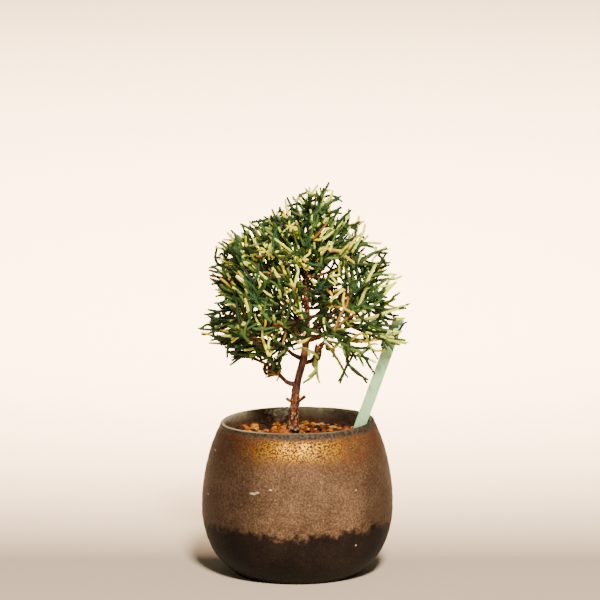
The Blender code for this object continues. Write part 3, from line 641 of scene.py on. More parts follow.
def label_place():
    """The label's middle, and its width, thickness and length directions as rows."""
    length = turned(turned(UP, np.array([0.0, 1.0, 0.0]), LABEL_LEAN_DEG),
                    np.array([1.0, 0.0, 0.0]), -LABEL_BACK_LEAN_DEG)
    width = turned(unit(np.cross((0.0, 1.0, 0.0), length)), length, LABEL_TURN_DEG)
    axes = np.array([width, np.cross(length, width), length])
    return np.array(LABEL_FOOT) + length * LABEL_LENGTH / 2, axes


def make_label():
    middle, (across, through, length) = label_place()
    ends = LABEL_LENGTH / 2 - CORNER_STEPS
    lowest = -LABEL_LENGTH / 2
    rows = np.r_[lowest, np.linspace(lowest + LABEL_EDGE, ends[-1] - 1, LABEL_ROWS), ends[::-1]]
    rings = []
    for row in rows:
        from_top = max(LABEL_CORNER - (LABEL_LENGTH / 2 - row), 0)
        half = LABEL_WIDTH / 2 - LABEL_CORNER + math.sqrt(max(LABEL_CORNER ** 2 - from_top ** 2, 0))
        thick = LABEL_THICKNESS / 2
        if row in (rows[0], rows[-1]):
            half, thick = half - LABEL_EDGE, thick - LABEL_EDGE
        bow = LABEL_BOW * (row / LABEL_LENGTH * 2) ** 2 - LABEL_BOW * 0.3
        edge = [(half, -thick + LABEL_EDGE), (half, thick - LABEL_EDGE), (half - LABEL_EDGE, thick),
                (-half + LABEL_EDGE, thick), (-half, thick - LABEL_EDGE), (-half, -thick + LABEL_EDGE),
                (-half + LABEL_EDGE, -thick), (half - LABEL_EDGE, -thick)]
        rings += [middle + across * a + through * (b + bow) + length * row for a, b in edge]
    quads, caps = tube_faces(len(rows), 8)
    return make_piece("plant_label", np.array(rings), [quads, caps], [label_plastic], smooth=False)


label_plastic, tree, shader = new_finish("label_plastic", colour(120, 168, 126), 0.42,
                                         Specular_IOR_Level=0.45)
height = object_place(tree)[1]["Z"]
faded = over(tree, mottle(tree, 90, 0.3, 0.7, 3), colour(166, 220, 160), colour(186, 232, 172))
grubby = times(tree, ramp(tree, height, *GRUBBY_HEIGHTS), mottle(tree, 600, 0.3, 0.6, 3))
tree.links.new(tint(tree, faded, grubby, 0.6, 80, 58, 36), shader.inputs["Base Color"])
tree.links.new(rescaled(tree, mottle(tree, 260, 0.3, 0.7, 3), 0.36, 0.5), shader.inputs["Roughness"])

label = make_label()
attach(label, "root")
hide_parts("label")


# ---- the trunk and boughs --------------------------------------------------------------------------------
# One leaning trunk with a flare at the gravel and two pruned stubs, and a dozen boughs that fork from it.
# The bark is thin and red-brown. It peels in strips, and stands up in flakes where scale leaves have dried.

# The trunk as (x, y, z, radius), from its flare at the gravel to its tip.
TRUNK = np.array([
    (-1.9, 0.0, 65.5, 3.4), (-1.9, 0.0, 66.8, 2.75), (-1.7, 0.0, 69.5, 2.3), (-1.2, 0.1, 76.0, 2.15),
    (-0.6, 0.2, 82.7, 1.85), (0.5, 0.2, 88.6, 1.65), (2.0, 0.0, 94.2, 1.72), (3.1, -0.3, 99.0, 1.75),
    (3.8, -0.5, 104.5, 1.6), (4.4, -0.3, 111.0, 1.35), (4.4, 0.3, 119.5, 1.2), (3.8, 0.8, 126.5, 1.12),
    (3.3, 0.7, 132.5, 1.0), (4.6, 0.2, 139.5, 0.9), (5.8, -0.2, 148.0, 0.75), (7.4, 0.0, 157.5, 0.6),
    (8.4, 0.3, 162.5, 0.5),
])
# Pruned stubs on the trunk as (height, heading, rise, length, radius).
STUBS = [(77.0, 176, 30, 4.6, 0.75), (76.6, -10, 40, 6.2, 0.85)]
# name: (height on the trunk, heading, rise, length, lift, root radius, tip radius). A heading is in degrees
# from +X towards +Y, and the lift is how far the limb turns upwards by its tip.
BOUGHS = {
    "bough_lower_left": (85.8, 188, 48, 13.0, -8, 1.05, 0.75),
    "bough_left": (97.9, 172, 54, 12.0, -44, 0.95, 0.70),
    "bough_stub": (95.8, -12, 54, 9.0, 4, 0.95, 0.62),
    "bough_right": (106.4, -6, 34, 20.0, -2, 1.25, 0.75),
    "bough_left_middle": (111.5, 186, 26, 17.0, 14, 0.90, 0.62),
    "bough_upper_left": (124.0, 174, 36, 17.0, 6, 0.85, 0.58),
    "bough_upper_right": (134.6, 4, 6, 13.5, 24, 0.75, 0.52),
    "bough_front_left": (107.0, 232, 30, 17.0, 14, 0.90, 0.62),
    "bough_front_right": (116.5, 310, 28, 16.0, 12, 0.85, 0.58),
    "bough_back_left": (109.0, 132, 34, 17.0, 12, 0.90, 0.62),
    "bough_back": (118.5, 88, 32, 16.0, 12, 0.85, 0.58),
    "bough_back_right": (110.2, 42, 24, 17.0, 12, 0.90, 0.60),
}
BOUGH_STATIONS = 5
GAP = 0.3
# Bark as (corners round a limb, space between its rings, how rough it is from the limb's root to its tip).
TRUNK_BARK = (44, 0.34, (1, 0.9, 0.35, 0.3, 0.9, 1, 1, 1, 1))
STUB_BARK = (16, 0.25, (1, 0.7))
BOUGH_BARK = (20, 0.3, (0.8, 1, 1))
# How fine the bark's strips, plates and fibres are across the limb and along it.
STRIP_SCALE = (1.5, 0.22)
PLATE_SCALE = (1.15, 0.62)
FIBRE_SCALE = (4, 2.4)
# The relief's depth as shares of the radius, up to the thickest: on smooth bark, and more of it on flaked.
RELIEF_DEPTH = (0.10, 0.16)
THICKEST = 1.6
# A stub's rings as (share of its length, share of its radius).
STUB_SHAPE = np.array([(0.15, 1.25), (0.45, 1.0), (0.75, 0.95), (0.97, 0.9), (1.0, 0.6)])
# A bough's root flares into the trunk, with a collar this far along its first stretch.
ROOT_FLARE = 1.35
ROOT_DEPTH = 0.9
COLLAR_PLACE = 0.12
COLLAR_FLARE = 1.12
# The stretch of the trunk where the bark is smoother and darker, in metres.
SMOOTH_BARK = ((0.079, 0.084), (0.102, 0.096))


def pointing(heading, rise):
    """The direction of a heading and a rise in degrees."""
    turn, climb = math.radians(heading), math.radians(rise)
    return np.array([math.cos(climb) * math.cos(turn), math.cos(climb) * math.sin(turn), math.sin(climb)])


def level_side(direction):
    """A level direction square to this one."""
    side = np.cross(direction, UP)
    return unit(side) if np.linalg.norm(side) > 0.001 else np.array([1.0, 0.0, 0.0])


def bent_line(start, first, direction, length, lift, stations):
    """A line that sets off between first and direction, then turns upwards by lift degrees to its end."""
    side = level_side(direction)
    step = length / (stations - 1)
    points = [start]
    for k in range(stations - 1):
        heading = turned(direction, side, lift * (k + 0.5) / (stations - 1))
        points.append(points[-1] + (unit(first + direction) if k == 0 else heading) * step)
    return np.array(points)


def line_length(line):
    return np.linalg.norm(np.diff(line, axis=0), axis=1).sum()


def along(points, share):
    """(place, direction, stretch) at this share of a line's length."""
    lengths = np.linalg.norm(np.diff(points, axis=0), axis=1)
    left = share * lengths.sum()
    for stretch, length in enumerate(lengths):
        if left <= length or stretch == len(lengths) - 1:
            part = min(left / length, 1.0)
            run = points[stretch + 1] - points[stretch]
            return points[stretch] + run * part, unit(run), stretch
        left -= length


def trunk_at(height):
    """The trunk's middle and its radius at a height."""
    x, y, radius = (np.interp(height, TRUNK[:, 2], TRUNK[:, k]) for k in (0, 1, 3))
    return np.array([x, y, height]), radius


def plan_limbs():
    """The trunk and the boughs, each bough from just clear of the trunk's side."""
    limbs = {"trunk": (TRUNK[:, :3], TRUNK[:, 3])}
    for name, (height, heading, rise, length, lift, root, tip) in BOUGHS.items():
        outward = pointing(heading, 0)
        middle, girth = trunk_at(height)
        start = middle + outward * (girth + GAP)
        points = bent_line(start, outward, pointing(heading, rise), length, lift, BOUGH_STATIONS)
        limbs[name] = (points, np.linspace(root, tip, BOUGH_STATIONS))
    return limbs


def frames_along(points):
    """The run, side and over directions at each point of a line, with no twist between them."""
    runs = np.gradient(points, axis=0)
    runs /= np.linalg.norm(runs, axis=1)[:, None]
    side = level_side(runs[0])
    sides = []
    for run in runs:
        side = unit(side - run * run.dot(side))
        sides.append(side)
    sides = np.array(sides)
    return runs, sides, np.cross(runs, sides)


def in_bark(x, y, rise, scale, seed):
    """A place in the bark's noise."""
    return Vector((x * scale[0], y * scale[0], rise * scale[1] + seed))


def bark_limb(knots, seed, columns, step, rough):
    """One limb's corners, their relief and its count of rings, through knots of (x, y, z, radius)."""
    length = line_length(knots[:, :3])
    line = smooth_line(knots, max(6, int(length / step)))
    points, radii = line[:, :3], line[:, 3]
    _, sides, overs = frames_along(points)
    rises = np.linspace(0, length, len(line))
    turns = np.arange(columns) * math.tau / columns
    corners, reliefs = [], []
    for point, radius, side, back, rise in zip(points, radii, sides, overs, rises):
        flake = np.interp(rise / length, np.linspace(0, 1, len(rough)), rough)
        for turn in turns:
            x, y = math.cos(turn) * radius, math.sin(turn) * radius
            strip = noise.noise(in_bark(x, y, rise, STRIP_SCALE, seed))
            near, _ = noise.voronoi(in_bark(x, y, rise, PLATE_SCALE, seed * 3))
            plate = min((near[1] - near[0]) * 2.2, 1.0)
            fine = noise.noise(in_bark(x, y, rise, FIBRE_SCALE, seed))
            relief = 0.45 * strip + flake * (0.75 * plate - 0.4 + 0.3 * fine)
            reliefs.append(relief)
            grown = radius + relief * (RELIEF_DEPTH[0] + RELIEF_DEPTH[1] * flake) * min(radius, THICKEST)
            corners.append(point + (side * math.cos(turn) + back * math.sin(turn)) * grown)
    return np.array(corners), np.array(reliefs), len(line)


def make_bark(name, limbs):
    """One joined bark mesh of several limbs, with its relief kept for the colours."""
    all_corners, quads, caps, reliefs, count = [], [], {}, [], 0
    for knots, seed, (columns, step, rough) in limbs:
        corners, relief, rows = bark_limb(knots, seed, columns, step, rough)
        sides, ends = tube_faces(rows, columns)
        all_corners.append(corners)
        quads.append(sides + count)
        caps.setdefault(columns, []).append(ends + count)
        reliefs.append(relief)
        count += len(corners)
    faces = [np.vstack(quads)] + [np.vstack(ends) for ends in caps.values()]
    piece = make_piece(name, np.vstack(all_corners), faces, [bark])
    kept = piece.data.attributes.new("relief", "FLOAT", "POINT")
    kept.data.foreach_set("value", np.concatenate(reliefs).astype(np.float32))
    return piece


bark, tree, shader = new_finish("bark", colour(112, 66, 46), 0.8, Specular_IOR_Level=0.25)
raised = add(tree, "ShaderNodeAttribute", attribute_name="relief").outputs["Fac"]
streaks = mottle(tree, 520, 0.35, 0.68, 4, stretch=(1, 1, 0.22))
patches = mottle(tree, 160, 0.38, 0.62, 3, shift=(4, 4, 1))
tone = over(tree, streaks, colour(50, 23, 15), colour(134, 80, 48))
tone = tint(tree, tone, patches, 0.4, 150, 82, 36)
# Raised bark is paler, as flakes and partly as a painted highlight; sunk bark is darker, as painted shade in
# the crevices.
tone = over(tree, ramp(tree, raised, 0.12, 0.45), tone, colour(206, 142, 84))
tone = over(tree, ramp(tree, raised, -0.04, -0.34), tone, colour(38, 20, 13))
smoother = times(tree, band(tree, object_place(tree)[1]["Z"], *SMOOTH_BARK), 0.85)
tone = over(tree, smoother, tone, over(tree, streaks, colour(30, 13, 11), colour(92, 50, 38)))
tree.links.new(tone, shader.inputs["Base Color"])
fibres = add(tree, "ShaderNodeBump", {"Height": streaks, "Strength": 0.5, "Distance": 0.15 * MM})
tree.links.new(fibres.outputs[0], shader.inputs["Normal"])

limbs = plan_limbs()
trunk_limbs = [(TRUNK, 1, TRUNK_BARK)]
for number, (height, heading, rise, length, radius) in enumerate(STUBS):
    spine = trunk_at(height)[0] + pointing(heading, rise) * length * STUB_SHAPE[:, :1]
    trunk_limbs.append((np.column_stack([spine, radius * STUB_SHAPE[:, 1]]), 20 + number, STUB_BARK))
trunk = make_bark("trunk_bark", trunk_limbs)
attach(trunk, "root")
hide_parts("trunk")

bough_limbs = []
for number, name in enumerate(BOUGHS):
    points, radii = limbs[name]
    inside = [*(points[0] - pointing(BOUGHS[name][1], 0) * (GAP + ROOT_DEPTH)), radii[0] * ROOT_FLARE]
    collar = [*(points[0] + (points[1] - points[0]) * COLLAR_PLACE), radii[0] * COLLAR_FLARE]
    knots = np.vstack([inside, collar, np.column_stack([points[1:], radii[1:]])])
    bough_limbs.append((knots, 31 + number, BOUGH_BARK))
boughs = make_bark("bough_bark", bough_limbs)
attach(boughs, "root")
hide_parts(*BOUGHS)


# ---- the foliage -----------------------------------------------------------------------------------------
# Cord-like shoots clad in pressed scale leaves, green with whole fingers and tips of cream and gold. A stem
# goes on from each limb. Twigs bend from it to places spread through the crown, and fingers stand along them
# by turns.

# name: (limb, place on it, heading, rise, length, lift) of each mass's stem. A place of 1 is the limb's tip.
STEMS = {
    "foliage_lower_left": ("bough_lower_left", 1.0, 186, 30, 13, -10),
    "foliage_low_left": ("bough_left", 1.0, 182, 6, 17, -8),
    "foliage_left": ("bough_left_middle", 1.0, 184, 20, 14, 6),
    "foliage_upper_left": ("bough_upper_left", 1.0, 178, 26, 12, 6),
    "foliage_crest_left": ("trunk", 0.75, 168, 44, 18, 10),
    "foliage_top": ("trunk", 1.0, 20, 68, 9, 4),
    "foliage_crest_right": ("trunk", 0.84, 8, 34, 15, 18),
    "foliage_upper_right": ("bough_upper_right", 1.0, 0, 18, 13, 4),
    "foliage_right": ("bough_right", 1.0, 4, 42, 14, -6),
    "foliage_far_right": ("bough_right", 0.90, -22, -4, 15, 6),
    "foliage_hanging": ("bough_right", 0.62, -40, -22, 11, -26),
    "foliage_stub_sprig": ("bough_stub", 0.55, 262, -76, 7, -6),
    "foliage_front_left": ("bough_front_left", 1.0, 224, 18, 11, 8),
    "foliage_front_right": ("bough_front_right", 1.0, 318, 20, 11, 6),
    "foliage_front_top": ("trunk", 0.79, 262, 34, 17, 16),
    "foliage_front": ("trunk", 0.60, 238, 30, 15, 14),
    "foliage_back_left": ("bough_back_left", 1.0, 142, 18, 11, 8),
    "foliage_back": ("bough_back", 1.0, 92, 22, 11, 6),
    "foliage_back_right": ("bough_back_right", 1.0, 34, 18, 12, 8),
    "foliage_back_top": ("trunk", 0.77, 78, 36, 16, 16),
}
STEM_STATIONS = 7
STEM_RADII = (0.75, 0.62)

# The crown's outline as (height, left edge, right edge, half depth), in a plane tipped back by CROWN_PITCH.
CROWN = np.array([
    (84, -14, 34, 9), (92, -26, 36, 13), (98, -34, 40, 21), (105, -40, 49, 31), (112, -44, 49, 36),
    (124, -38, 49, 38), (136, -40, 46, 37), (147, -37, 40, 33), (154, -31, 34, 27), (160, -18, 28, 20),
    (166, -9, 22, 13), (172, -1, 18, 8), (176, 9, 16, 4),
], float)
CROWN_PITCH = 0.16
CROWN_MIDDLE = (4.0, 0.0, 122.0)
# Its underside as (x, height) in the middle. Towards the front and the back it rises to its belly's height.
UNDERSIDE = np.array([
    (-46, 108), (-37, 103), (-31, 94), (-18, 95), (-13, 88), (-8, 89), (-5, 98), (1, 104), (3, 86), (9, 86),
    (12, 104), (15, 100), (19, 86), (32, 88), (37, 96), (40, 101), (50, 104),
], float)
UNDERSIDE_RISE = 1.2
UNDERSIDE_FLAT = 5.0
BELLY = 99.0
# Places at its outline that are always given a twig, if one can reach them.
TIPS = [
    (13.7, 0, 176.0), (4, -3, 173), (23, 4, 164), (31, -3, 157), (47.5, 2, 121), (48, -4, 105), (36, -5, 97),
    (19, -8, 86), (31, -4, 89), (-43, 2, 111), (-39, -3, 137), (-36, 4, 147), (-25, -2, 157), (-8, 3, 164),
    (3.0, -3, 87.2), (9.8, -3, 86.6),
]
# How far apart the twigs' places are, from the crown's middle to its outline, and how much closer at its top.
SPACING_INSIDE = 10.0
SPACING_OUTSIDE = 8.0
INSIDE_TO_OUTSIDE = (0.5, 0.9)
TOP_HEIGHT = 158.0
TOP_SPACING = 0.75
BARE_MIDDLE = 0.3
CANDIDATES = 9000
TURNING = 1.3
CROWDING = 5.0
SHORTEST_TWIG = 4.0
TOO_SHORT = 100.0
TRIES = 4
TWIG_STATIONS = 3
ELBOW_KEEPS = 0.8
TWIG_RADIUS = 0.68
FINGER_RADIUS = 1.1
FINGER_SHOULDER = 0.35
FINGER_LENGTH = 10.5
FINGER_SPREAD = 0.2
FINGER_ROOT_LONGER = 1.05
FINGER_SHORTENS = 0.35
FINGER_CUTS = (1.0, 0.75, 0.55)
FINGER_PITCH = 3.0
FINGER_TOP_SPACE = 0.6
FINGER_ANGLE = 40
FINGER_ANGLE_SPREAD = 9
FINGER_TWIST = 30
FAN_TILT = 50
ROOT_RUN = 3.0
SPRIG_GAP = 0.15
OVERREACH = 1.5
PROBE_STEP = 1.2
FARTHEST = 4.0
HALVINGS = 12


def seen_height(point):
    """A point's height in the crown's tipped plane."""
    return point[2] + point[1] * CROWN_PITCH


def crown_at(height):
    """The crown's left edge, right edge and half depth at a height."""
    return [np.interp(height, CROWN[:, 0], CROWN[:, k]) for k in (1, 2, 3)]


def underside_at(x):
    return np.interp(x, UNDERSIDE[:, 0], UNDERSIDE[:, 1])


def in_crown(point, spread=0.0):
    """True inside the crown's outline, made wider by spread."""
    x, y, _ = point
    height = seen_height(point)
    if not CROWN[0, 0] - spread < height < CROWN[-1, 0] + spread:
        return False
    left, right, depth = crown_at(height)
    middle, half = (left + right) / 2, (right - left) / 2 + spread
    if ((x - middle) / half) ** 2 + (y / (depth + spread)) ** 2 > 1:
        return False
    low = underside_at(x)
    return height > max(low, min(BELLY, low + UNDERSIDE_RISE * (abs(y) - UNDERSIDE_FLAT))) - spread


def crown_share(point):
    """How far out a point lies, from 0 at the crown's middle to 1 at its outline."""
    middle = np.array(CROWN_MIDDLE)
    low, high = 0.0, FARTHEST
    for _ in range(HALVINGS):
        probe = (low + high) / 2
        if in_crown(middle + (point - middle) * probe):
            low = probe
        else:
            high = probe
    return 1 / max(low, 0.001)


def distances(points, ends):
    """The distance of each point to each stretch between two ends."""
    start, run = ends[:, :3], ends[:, 3:] - ends[:, :3]
    away = points[:, None] - start[None]
    share = np.clip((away * run).sum(2) / (run * run).sum(1), 0, 1)
    return np.linalg.norm(away - run * share[..., None], axis=2)


def stretches(lines):
    """Every stretch of some lines, as its two ends in one row."""
    return np.vstack([np.hstack([line[:-1], line[1:]]) for line in lines])


class Taken:
    """One mass's twigs and fingers, which later ones grow clear of once they are past their own roots."""

    def __init__(self, lines, radius):
        self.ends, self.radii = np.empty((0, 6)), np.empty(0)
        for line in lines:
            self.add(line, radius)

    def add(self, line, radius):
        self.ends = np.vstack([self.ends, stretches([line])])
        self.radii = np.append(self.radii, np.full(len(line) - 1, radius) if np.isscalar(radius)
                               else np.maximum(radius[:-1], radius[1:]))

    def leaves_room(self, line, radius, gap=SPRIG_GAP, root_run=ROOT_RUN):
        """True if the line, past its root's run, is clear of everything in the mass."""
        length = line_length(line)
        if length <= root_run:
            return True
        shares = np.linspace(root_run / length, 1, max(3, math.ceil(length / PROBE_STEP)))
        points = np.array([along(line, share)[0] for share in shares])
        return not (distances(points, self.ends) < self.radii + radius + gap).any()


class Space:
    """Whose space a place is in, and whether a line stays in it, clear of the limbs and the label."""

    def __init__(self, limbs, stems):
        self.limb_ends = stretches(points for points, _ in limbs.values())
        self.limb_radii = np.concatenate([np.maximum(radii[:-1], radii[1:]) for _, radii in limbs.values()])
        self.stem_ends = stretches(points for points, _ in stems.values())
        self.owners = np.array([name for name, (points, _) in stems.items() for _ in points[1:]])
        self.label_middle, self.label_axes = label_place()

    def owner(self, point):
        return self.owners[distances(point[None], self.stem_ends)[0].argmin()]

    def clear(self, points, radius):
        """True if the points are clear of the limbs and the label."""
        if (distances(points, self.limb_ends) < self.limb_radii + radius + GAP).any():
            return False
        outside = (np.abs((points - self.label_middle) @ self.label_axes.T)
                   - np.array([LABEL_WIDTH, LABEL_THICKNESS, LABEL_LENGTH]) / 2)
        return bool((np.linalg.norm(np.maximum(outside, 0), axis=1) > radius + GAP).all())

    def keeps_to(self, owner, points, margin):
        """True if the points are nearer to the owner's stem than to any other, by the margin."""
        to_stems = distances(points, self.stem_ends)
        own = self.owners == owner
        return not (to_stems[:, ~own].min(1) - to_stems[:, own].min(1) < margin).any()

    def holds(self, owner, start, end, radius):
        points = np.linspace(start, end, max(3, math.ceil(np.linalg.norm(end - start) / PROBE_STEP)))
        return (in_crown(end, OVERREACH) and self.clear(points, radius)
                and self.keeps_to(owner, points, 2 * radius + GAP))


def plan_stems(limbs):
    """The stem of each mass, from just clear of its limb's tip or side."""
    stems = {}
    for name, (limb, share, heading, rise, length, lift) in STEMS.items():
        points, radii = limbs[limb]
        direction = pointing(heading, rise)
        place, run, stretch = along(points, share)
        if share == 1.0:
            first, start = run, place + run * GAP
        else:
            first = unit(direction - run * direction.dot(run))
            start = place + first * (radii[stretch] + GAP)
        line = bent_line(start, first, direction, length, lift, STEM_STATIONS)
        stems[name] = (line, np.linspace(*STEM_RADII, STEM_STATIONS))
    return stems


def spread_places(rng, first, inside, outside, room=lambda point: 1.0):
    """Places spread evenly through the crown, closer towards its outline and its top, and the first ones."""
    low = np.array([CROWN[:, 1].min(), -CROWN[:, 3].max(), CROWN[0, 0]])
    high = np.array([CROWN[:, 2].max(), CROWN[:, 3].max(), CROWN[-1, 0]])
    places = list(first)
    for point in rng.uniform(low, high, (CANDIDATES, 3)):
        share = crown_share(point) if in_crown(point) else 0.0
        if share < BARE_MIDDLE:
            continue
        apart = np.interp(share, INSIDE_TO_OUTSIDE, (inside, outside)) * room(point)
        if point[2] > TOP_HEIGHT:
            apart *= TOP_SPACING
        if np.linalg.norm(np.array(places) - point, axis=1).min() > apart:
            places.append(point)
    return places


class Node:
    """A place that twigs can leave: its run, the node before it, how many leave it, and what lies beyond."""

    def __init__(self, place, run, before):
        self.place, self.run, self.before = place, run, before
        self.used, self.beyond = 0, 0.0


def stem_nodes(stem):
    nodes = []
    for one, place, other in zip(stem, stem[1:], [*stem[2:], 2 * stem[-1] - stem[-2]]):
        nodes.append(Node(place, unit(other - one), nodes[-1] if nodes else None))
    return nodes


def grow_twigs(space, taken, name, root, nodes, targets, size, room):
    """Twigs to the targets, each from the stem or an older twig where the way is short and turns little."""
    twigs = []
    for target in sorted(targets, key=lambda place: np.linalg.norm(place - root)):
        costs = []
        for node in nodes:
            reach = np.linalg.norm(target - node.place)
            bend = 1 - node.run.dot(target - node.place) / max(reach, 0.001)
            too_near = TOO_SHORT if reach < SHORTEST_TWIG else 0
            costs.append(reach * (1 + TURNING * bend) + node.used * CROWDING + too_near)
        for choice in np.argsort(costs)[:TRIES]:
            node = nodes[choice]
            reach = np.linalg.norm(target - node.place)
            if reach < SHORTEST_TWIG:
                continue
            elbow = node.place + unit(node.run * ELBOW_KEEPS + (target - node.place) / reach) * reach / 2
            share = np.linspace(0, 1, TWIG_STATIONS)[:, None]
            line = node.place * (1 - share) ** 2 + elbow * 2 * share * (1 - share) + target * share ** 2
            kept = 1
            while kept < TWIG_STATIONS and space.holds(name, line[kept - 1], line[kept], size):
                kept += 1
            line = line[:kept]
            if kept >= TWIG_STATIONS - 1 and taken.leaves_room(line, size, room):
                taken.add(line, size)
                node.used += 1
                chain = [node]
                for k in range(1, kept):
                    chain.append(Node(line[k], unit(line[min(k + 1, kept - 1)] - line[k - 1]), chain[-1]))
                nodes += chain[1:]
                twigs.append(chain)
                break
    return twigs


def fan_side(rng, line):
    """The side that a line's own shoots stand to, level but for a tilt at random."""
    chord = unit(line[-1] - line[0])
    return turned(level_side(chord), chord, rng.uniform(-FAN_TILT, FAN_TILT))


def grow_fingers(space, taken, name, lines, rng, size, room):
    """Fingers set by turns on the two sides of the stem and of each twig, shorter where the space ends."""
    fingers = []
    for number, twig in enumerate(lines):
        flat = fan_side(rng, twig)
        count = max(1, int(line_length(twig) / FINGER_PITCH))
        for k in range(count):
            share = (k + 1) / (count + FINGER_TOP_SPACE)
            place, run, _ = along(twig, share)
            angle = FINGER_ANGLE + rng.uniform(-FINGER_ANGLE_SPREAD, FINGER_ANGLE_SPREAD)
            finger = turned(run, unit(np.cross(run, flat)), angle if k % 2 else -angle)
            finger = turned(finger, run, rng.uniform(-FINGER_TWIST, FINGER_TWIST))
            long = FINGER_LENGTH * (FINGER_ROOT_LONGER - FINGER_SHORTENS * share)
            long *= rng.uniform(1 - FINGER_SPREAD, 1 + FINGER_SPREAD)
            for cut in FINGER_CUTS:
                end = place + finger * long * cut
                line = np.array([place, place + (end - place) * FINGER_SHOULDER, end])
                if space.holds(name, place, end, size) and taken.leaves_room(line, size, room):
                    taken.add(line, size)
                    fingers.append((line, number))
                    break
    return fingers


def axes_of(stem, chains):
    """The stem's line, and each twig's."""
    return [stem] + [np.array([node.place for node in chain]) for chain in chains]


# The finer growth, which the solids leave out. Openings show the sky or the trunk, as (x, height, half
# width, half height). The last ones are only in the crown's front half.
OPENINGS = [
    (8.5, 140.5, 1.8, 1.2), (15.0, 142.0, 1.9, 1.3), (15.0, 138.2, 1.6, 1.4), (20.2, 134.2, 1.8, 1.4),
    (18.4, 160.4, 2.6, 2.6), (26.9, 147.0, 3.2, 2.4), (18.1, 117.5, 3.2, 4.5), (24.5, 126.5, 2.8, 3.6),
    (34.5, 133.0, 3.4, 3.2), (38.0, 116.0, 3.4, 2.6), (43.5, 127.5, 5.0, 2.6), (31.5, 122.0, 2.6, 3.4),
    (40.5, 142.0, 4.5, 2.4), (31.5, 152.0, 4.0, 2.2), (8.0, 121.0, 1.1, 3.4), (16.8, 123.5, 1.6, 1.6),
    (26.0, 104.0, 4.5, 2.0),
]
FRONT_OPENINGS = [(4.2, 128.0, 2.2, 12.0), (7.5, 111.0, 4.0, 3.0), (31.0, 126.0, 10.0, 23.0)]
FRONT_FROM = -1.0
# More places for twigs, where the crown is close-grown, this far apart in its middle and at its outline.
FINE_SPACING = (6.6, 5.4)
FINE_SIZE = 0.3
FINE_ROOM = -0.5
FINE_MASSES_KEEP = 0.3
OPEN_SIDE = 17.0
OPEN_SIDE_ROOM = 3.4
NO_ROOM = 99.0
# The close-grown heart ends this far inside the outline on the left, on the right and below, and this high.
HEART_INSET = (4.5, 6.0, 3.0)
HEART_TOP = 171.0
HANGING_FROM = 106.0
LONE_TURNING = 0.8
LONE_TIP_FROM = (0.55, 0.75)
# Shoots turn outwards from this place, by this much and less at their roots.
OUTWARD_FROM = (4.0, 0.0, 108.0)
OUTWARD = 0.9
ROOT_OUTWARD = 0.5
# Side cords stand along a stem or twig, and spurs along a side cord.
SIDE_PITCH = 2.6
SIDE_FROM = 0.12
SIDE_LENGTH = 16.0
SIDE_SHORTENS = 0.25
SIDE_SPREAD = 0.25
SIDE_ANGLE = 33
SIDE_ANGLE_SPREAD = 8
SIDE_TWIST = 15
SIDE_CUTS = (1.0, 0.8, 0.62)
SIDE_FORWARD = 0.7
SIDE_STRAYS = (0.35, 0.65)
SPUR_PITCH = 3.6
SPUR_FROM = 0.35
SPUR_LENGTH = 7.0
SPUR_KEEPS = 0.35
LEAD_LENGTH = (3.5, 8.0)
# A room or a wall below 0 is how far a cord may run into another one, or past the edge of its mass's space.
CORD_SIZE = 0.5
CORD_PROBES = 6
CORD_ROOM = -0.45
CORD_ROOT = 2.2
CORD_WALL = -2.0
CORD_OVERREACH = 1.5
# Below this height and right of this place shoots hang down, with fewer side cords and spurs.
HANGING_BELOW = 98.0
HANGING_RIGHT = -5.0
HANGING_SIDES = 0.45
HANGING_SPURS = 0.2
# A twig is wood where this length of foliage or more lies beyond it.
WOODY_FROM = 26.0
WOOD_TONES = {
    "twig_brown": ((74, 38, 22), 0.5), "twig_dark": ((40, 22, 15), 0.3), "twig_orange": ((122, 62, 30), 0.2),
}
LEAD_BEYOND = 4
LEAD_TIP_FROM = 0.55
CORD_RADIUS = 0.57
CORD_GIRTHS = (0.92, 1.12)
CORD_THICKENS = 0.2
CORD_THICK_BY = 22.0
PALE_GIRTH = 0.96
CORD_SIDES = 8
SCALE_PITCH = 1.1
# A pair of scale leaves: (place along it, girth over its leaves, between them, over the other pair's sides).
SCALE_SHAPE = [(0.0, 0.90, 0.90, 0.90), (0.5, 1.07, 1.0, 0.94), (0.93, 1.17, 1.0, 0.90)]
TIP_SHAPE = [(0.0, 0.74), (0.24, 0.32)]
CORD_TAPER = (1.0, 1.0, 1.0, 1.0, 0.94, 0.72)
LONE_RADIUS = (0.64, 0.74)
LONE_SLIMS = ((3.5, 10.0), (0.7, 1.0))

LEAF_TONES = {
    "shadow": (23, 38, 14), "deep": (38, 61, 22), "green": (66, 91, 34), "blue": (37, 70, 34),
    "fresh": (124, 138, 62), "lime": (188, 200, 82), "cream": (244, 252, 84), "butter": (242, 226, 48),
    "gold": (212, 172, 40), "tan": (146, 102, 40), "russet": (94, 46, 26),
}
TONES = list(LEAF_TONES)
SPRAY_GREENS = {"shadow": 0.16, "deep": 0.42, "green": 0.25, "blue": 0.14, "fresh": 0.03}
MASS_GREENS = {"foliage_stub_sprig": {"lime": 0.6, "fresh": 0.4}}
DRY_TONES = ["tan", "russet", "gold"]
# Pale tones by their shares, and the shares of cords that are pale, inside the crown and at its outline.
# More have pale tips. Both are commoner at the top and on the right.
PALES = {"cream": 0.46, "butter": 0.24, "lime": 0.26, "gold": 0.05}
PALE_CORDS = (0.01, 0.05)
PALE_TIPS = 0.11
PALE_TIP_FROM = (0.35, 0.8)
PALE_INSIDE = 0.55
SUNNY_HEIGHT = 152.0
SUNNY_SIDE = 18.0
SUNNY_PALES = 1.8
FRESH_CORDS = 0.09
DRY_CORDS = 0.02
# A deep hollow to the right of the trunk as (x, height, half width, half height), where most shoots are given
# the shadow tone as painted shade.
HOLLOW = (12.5, 125.0, 7.5, 9.0)
HOLLOW_PAINTED_SHADE = 0.8

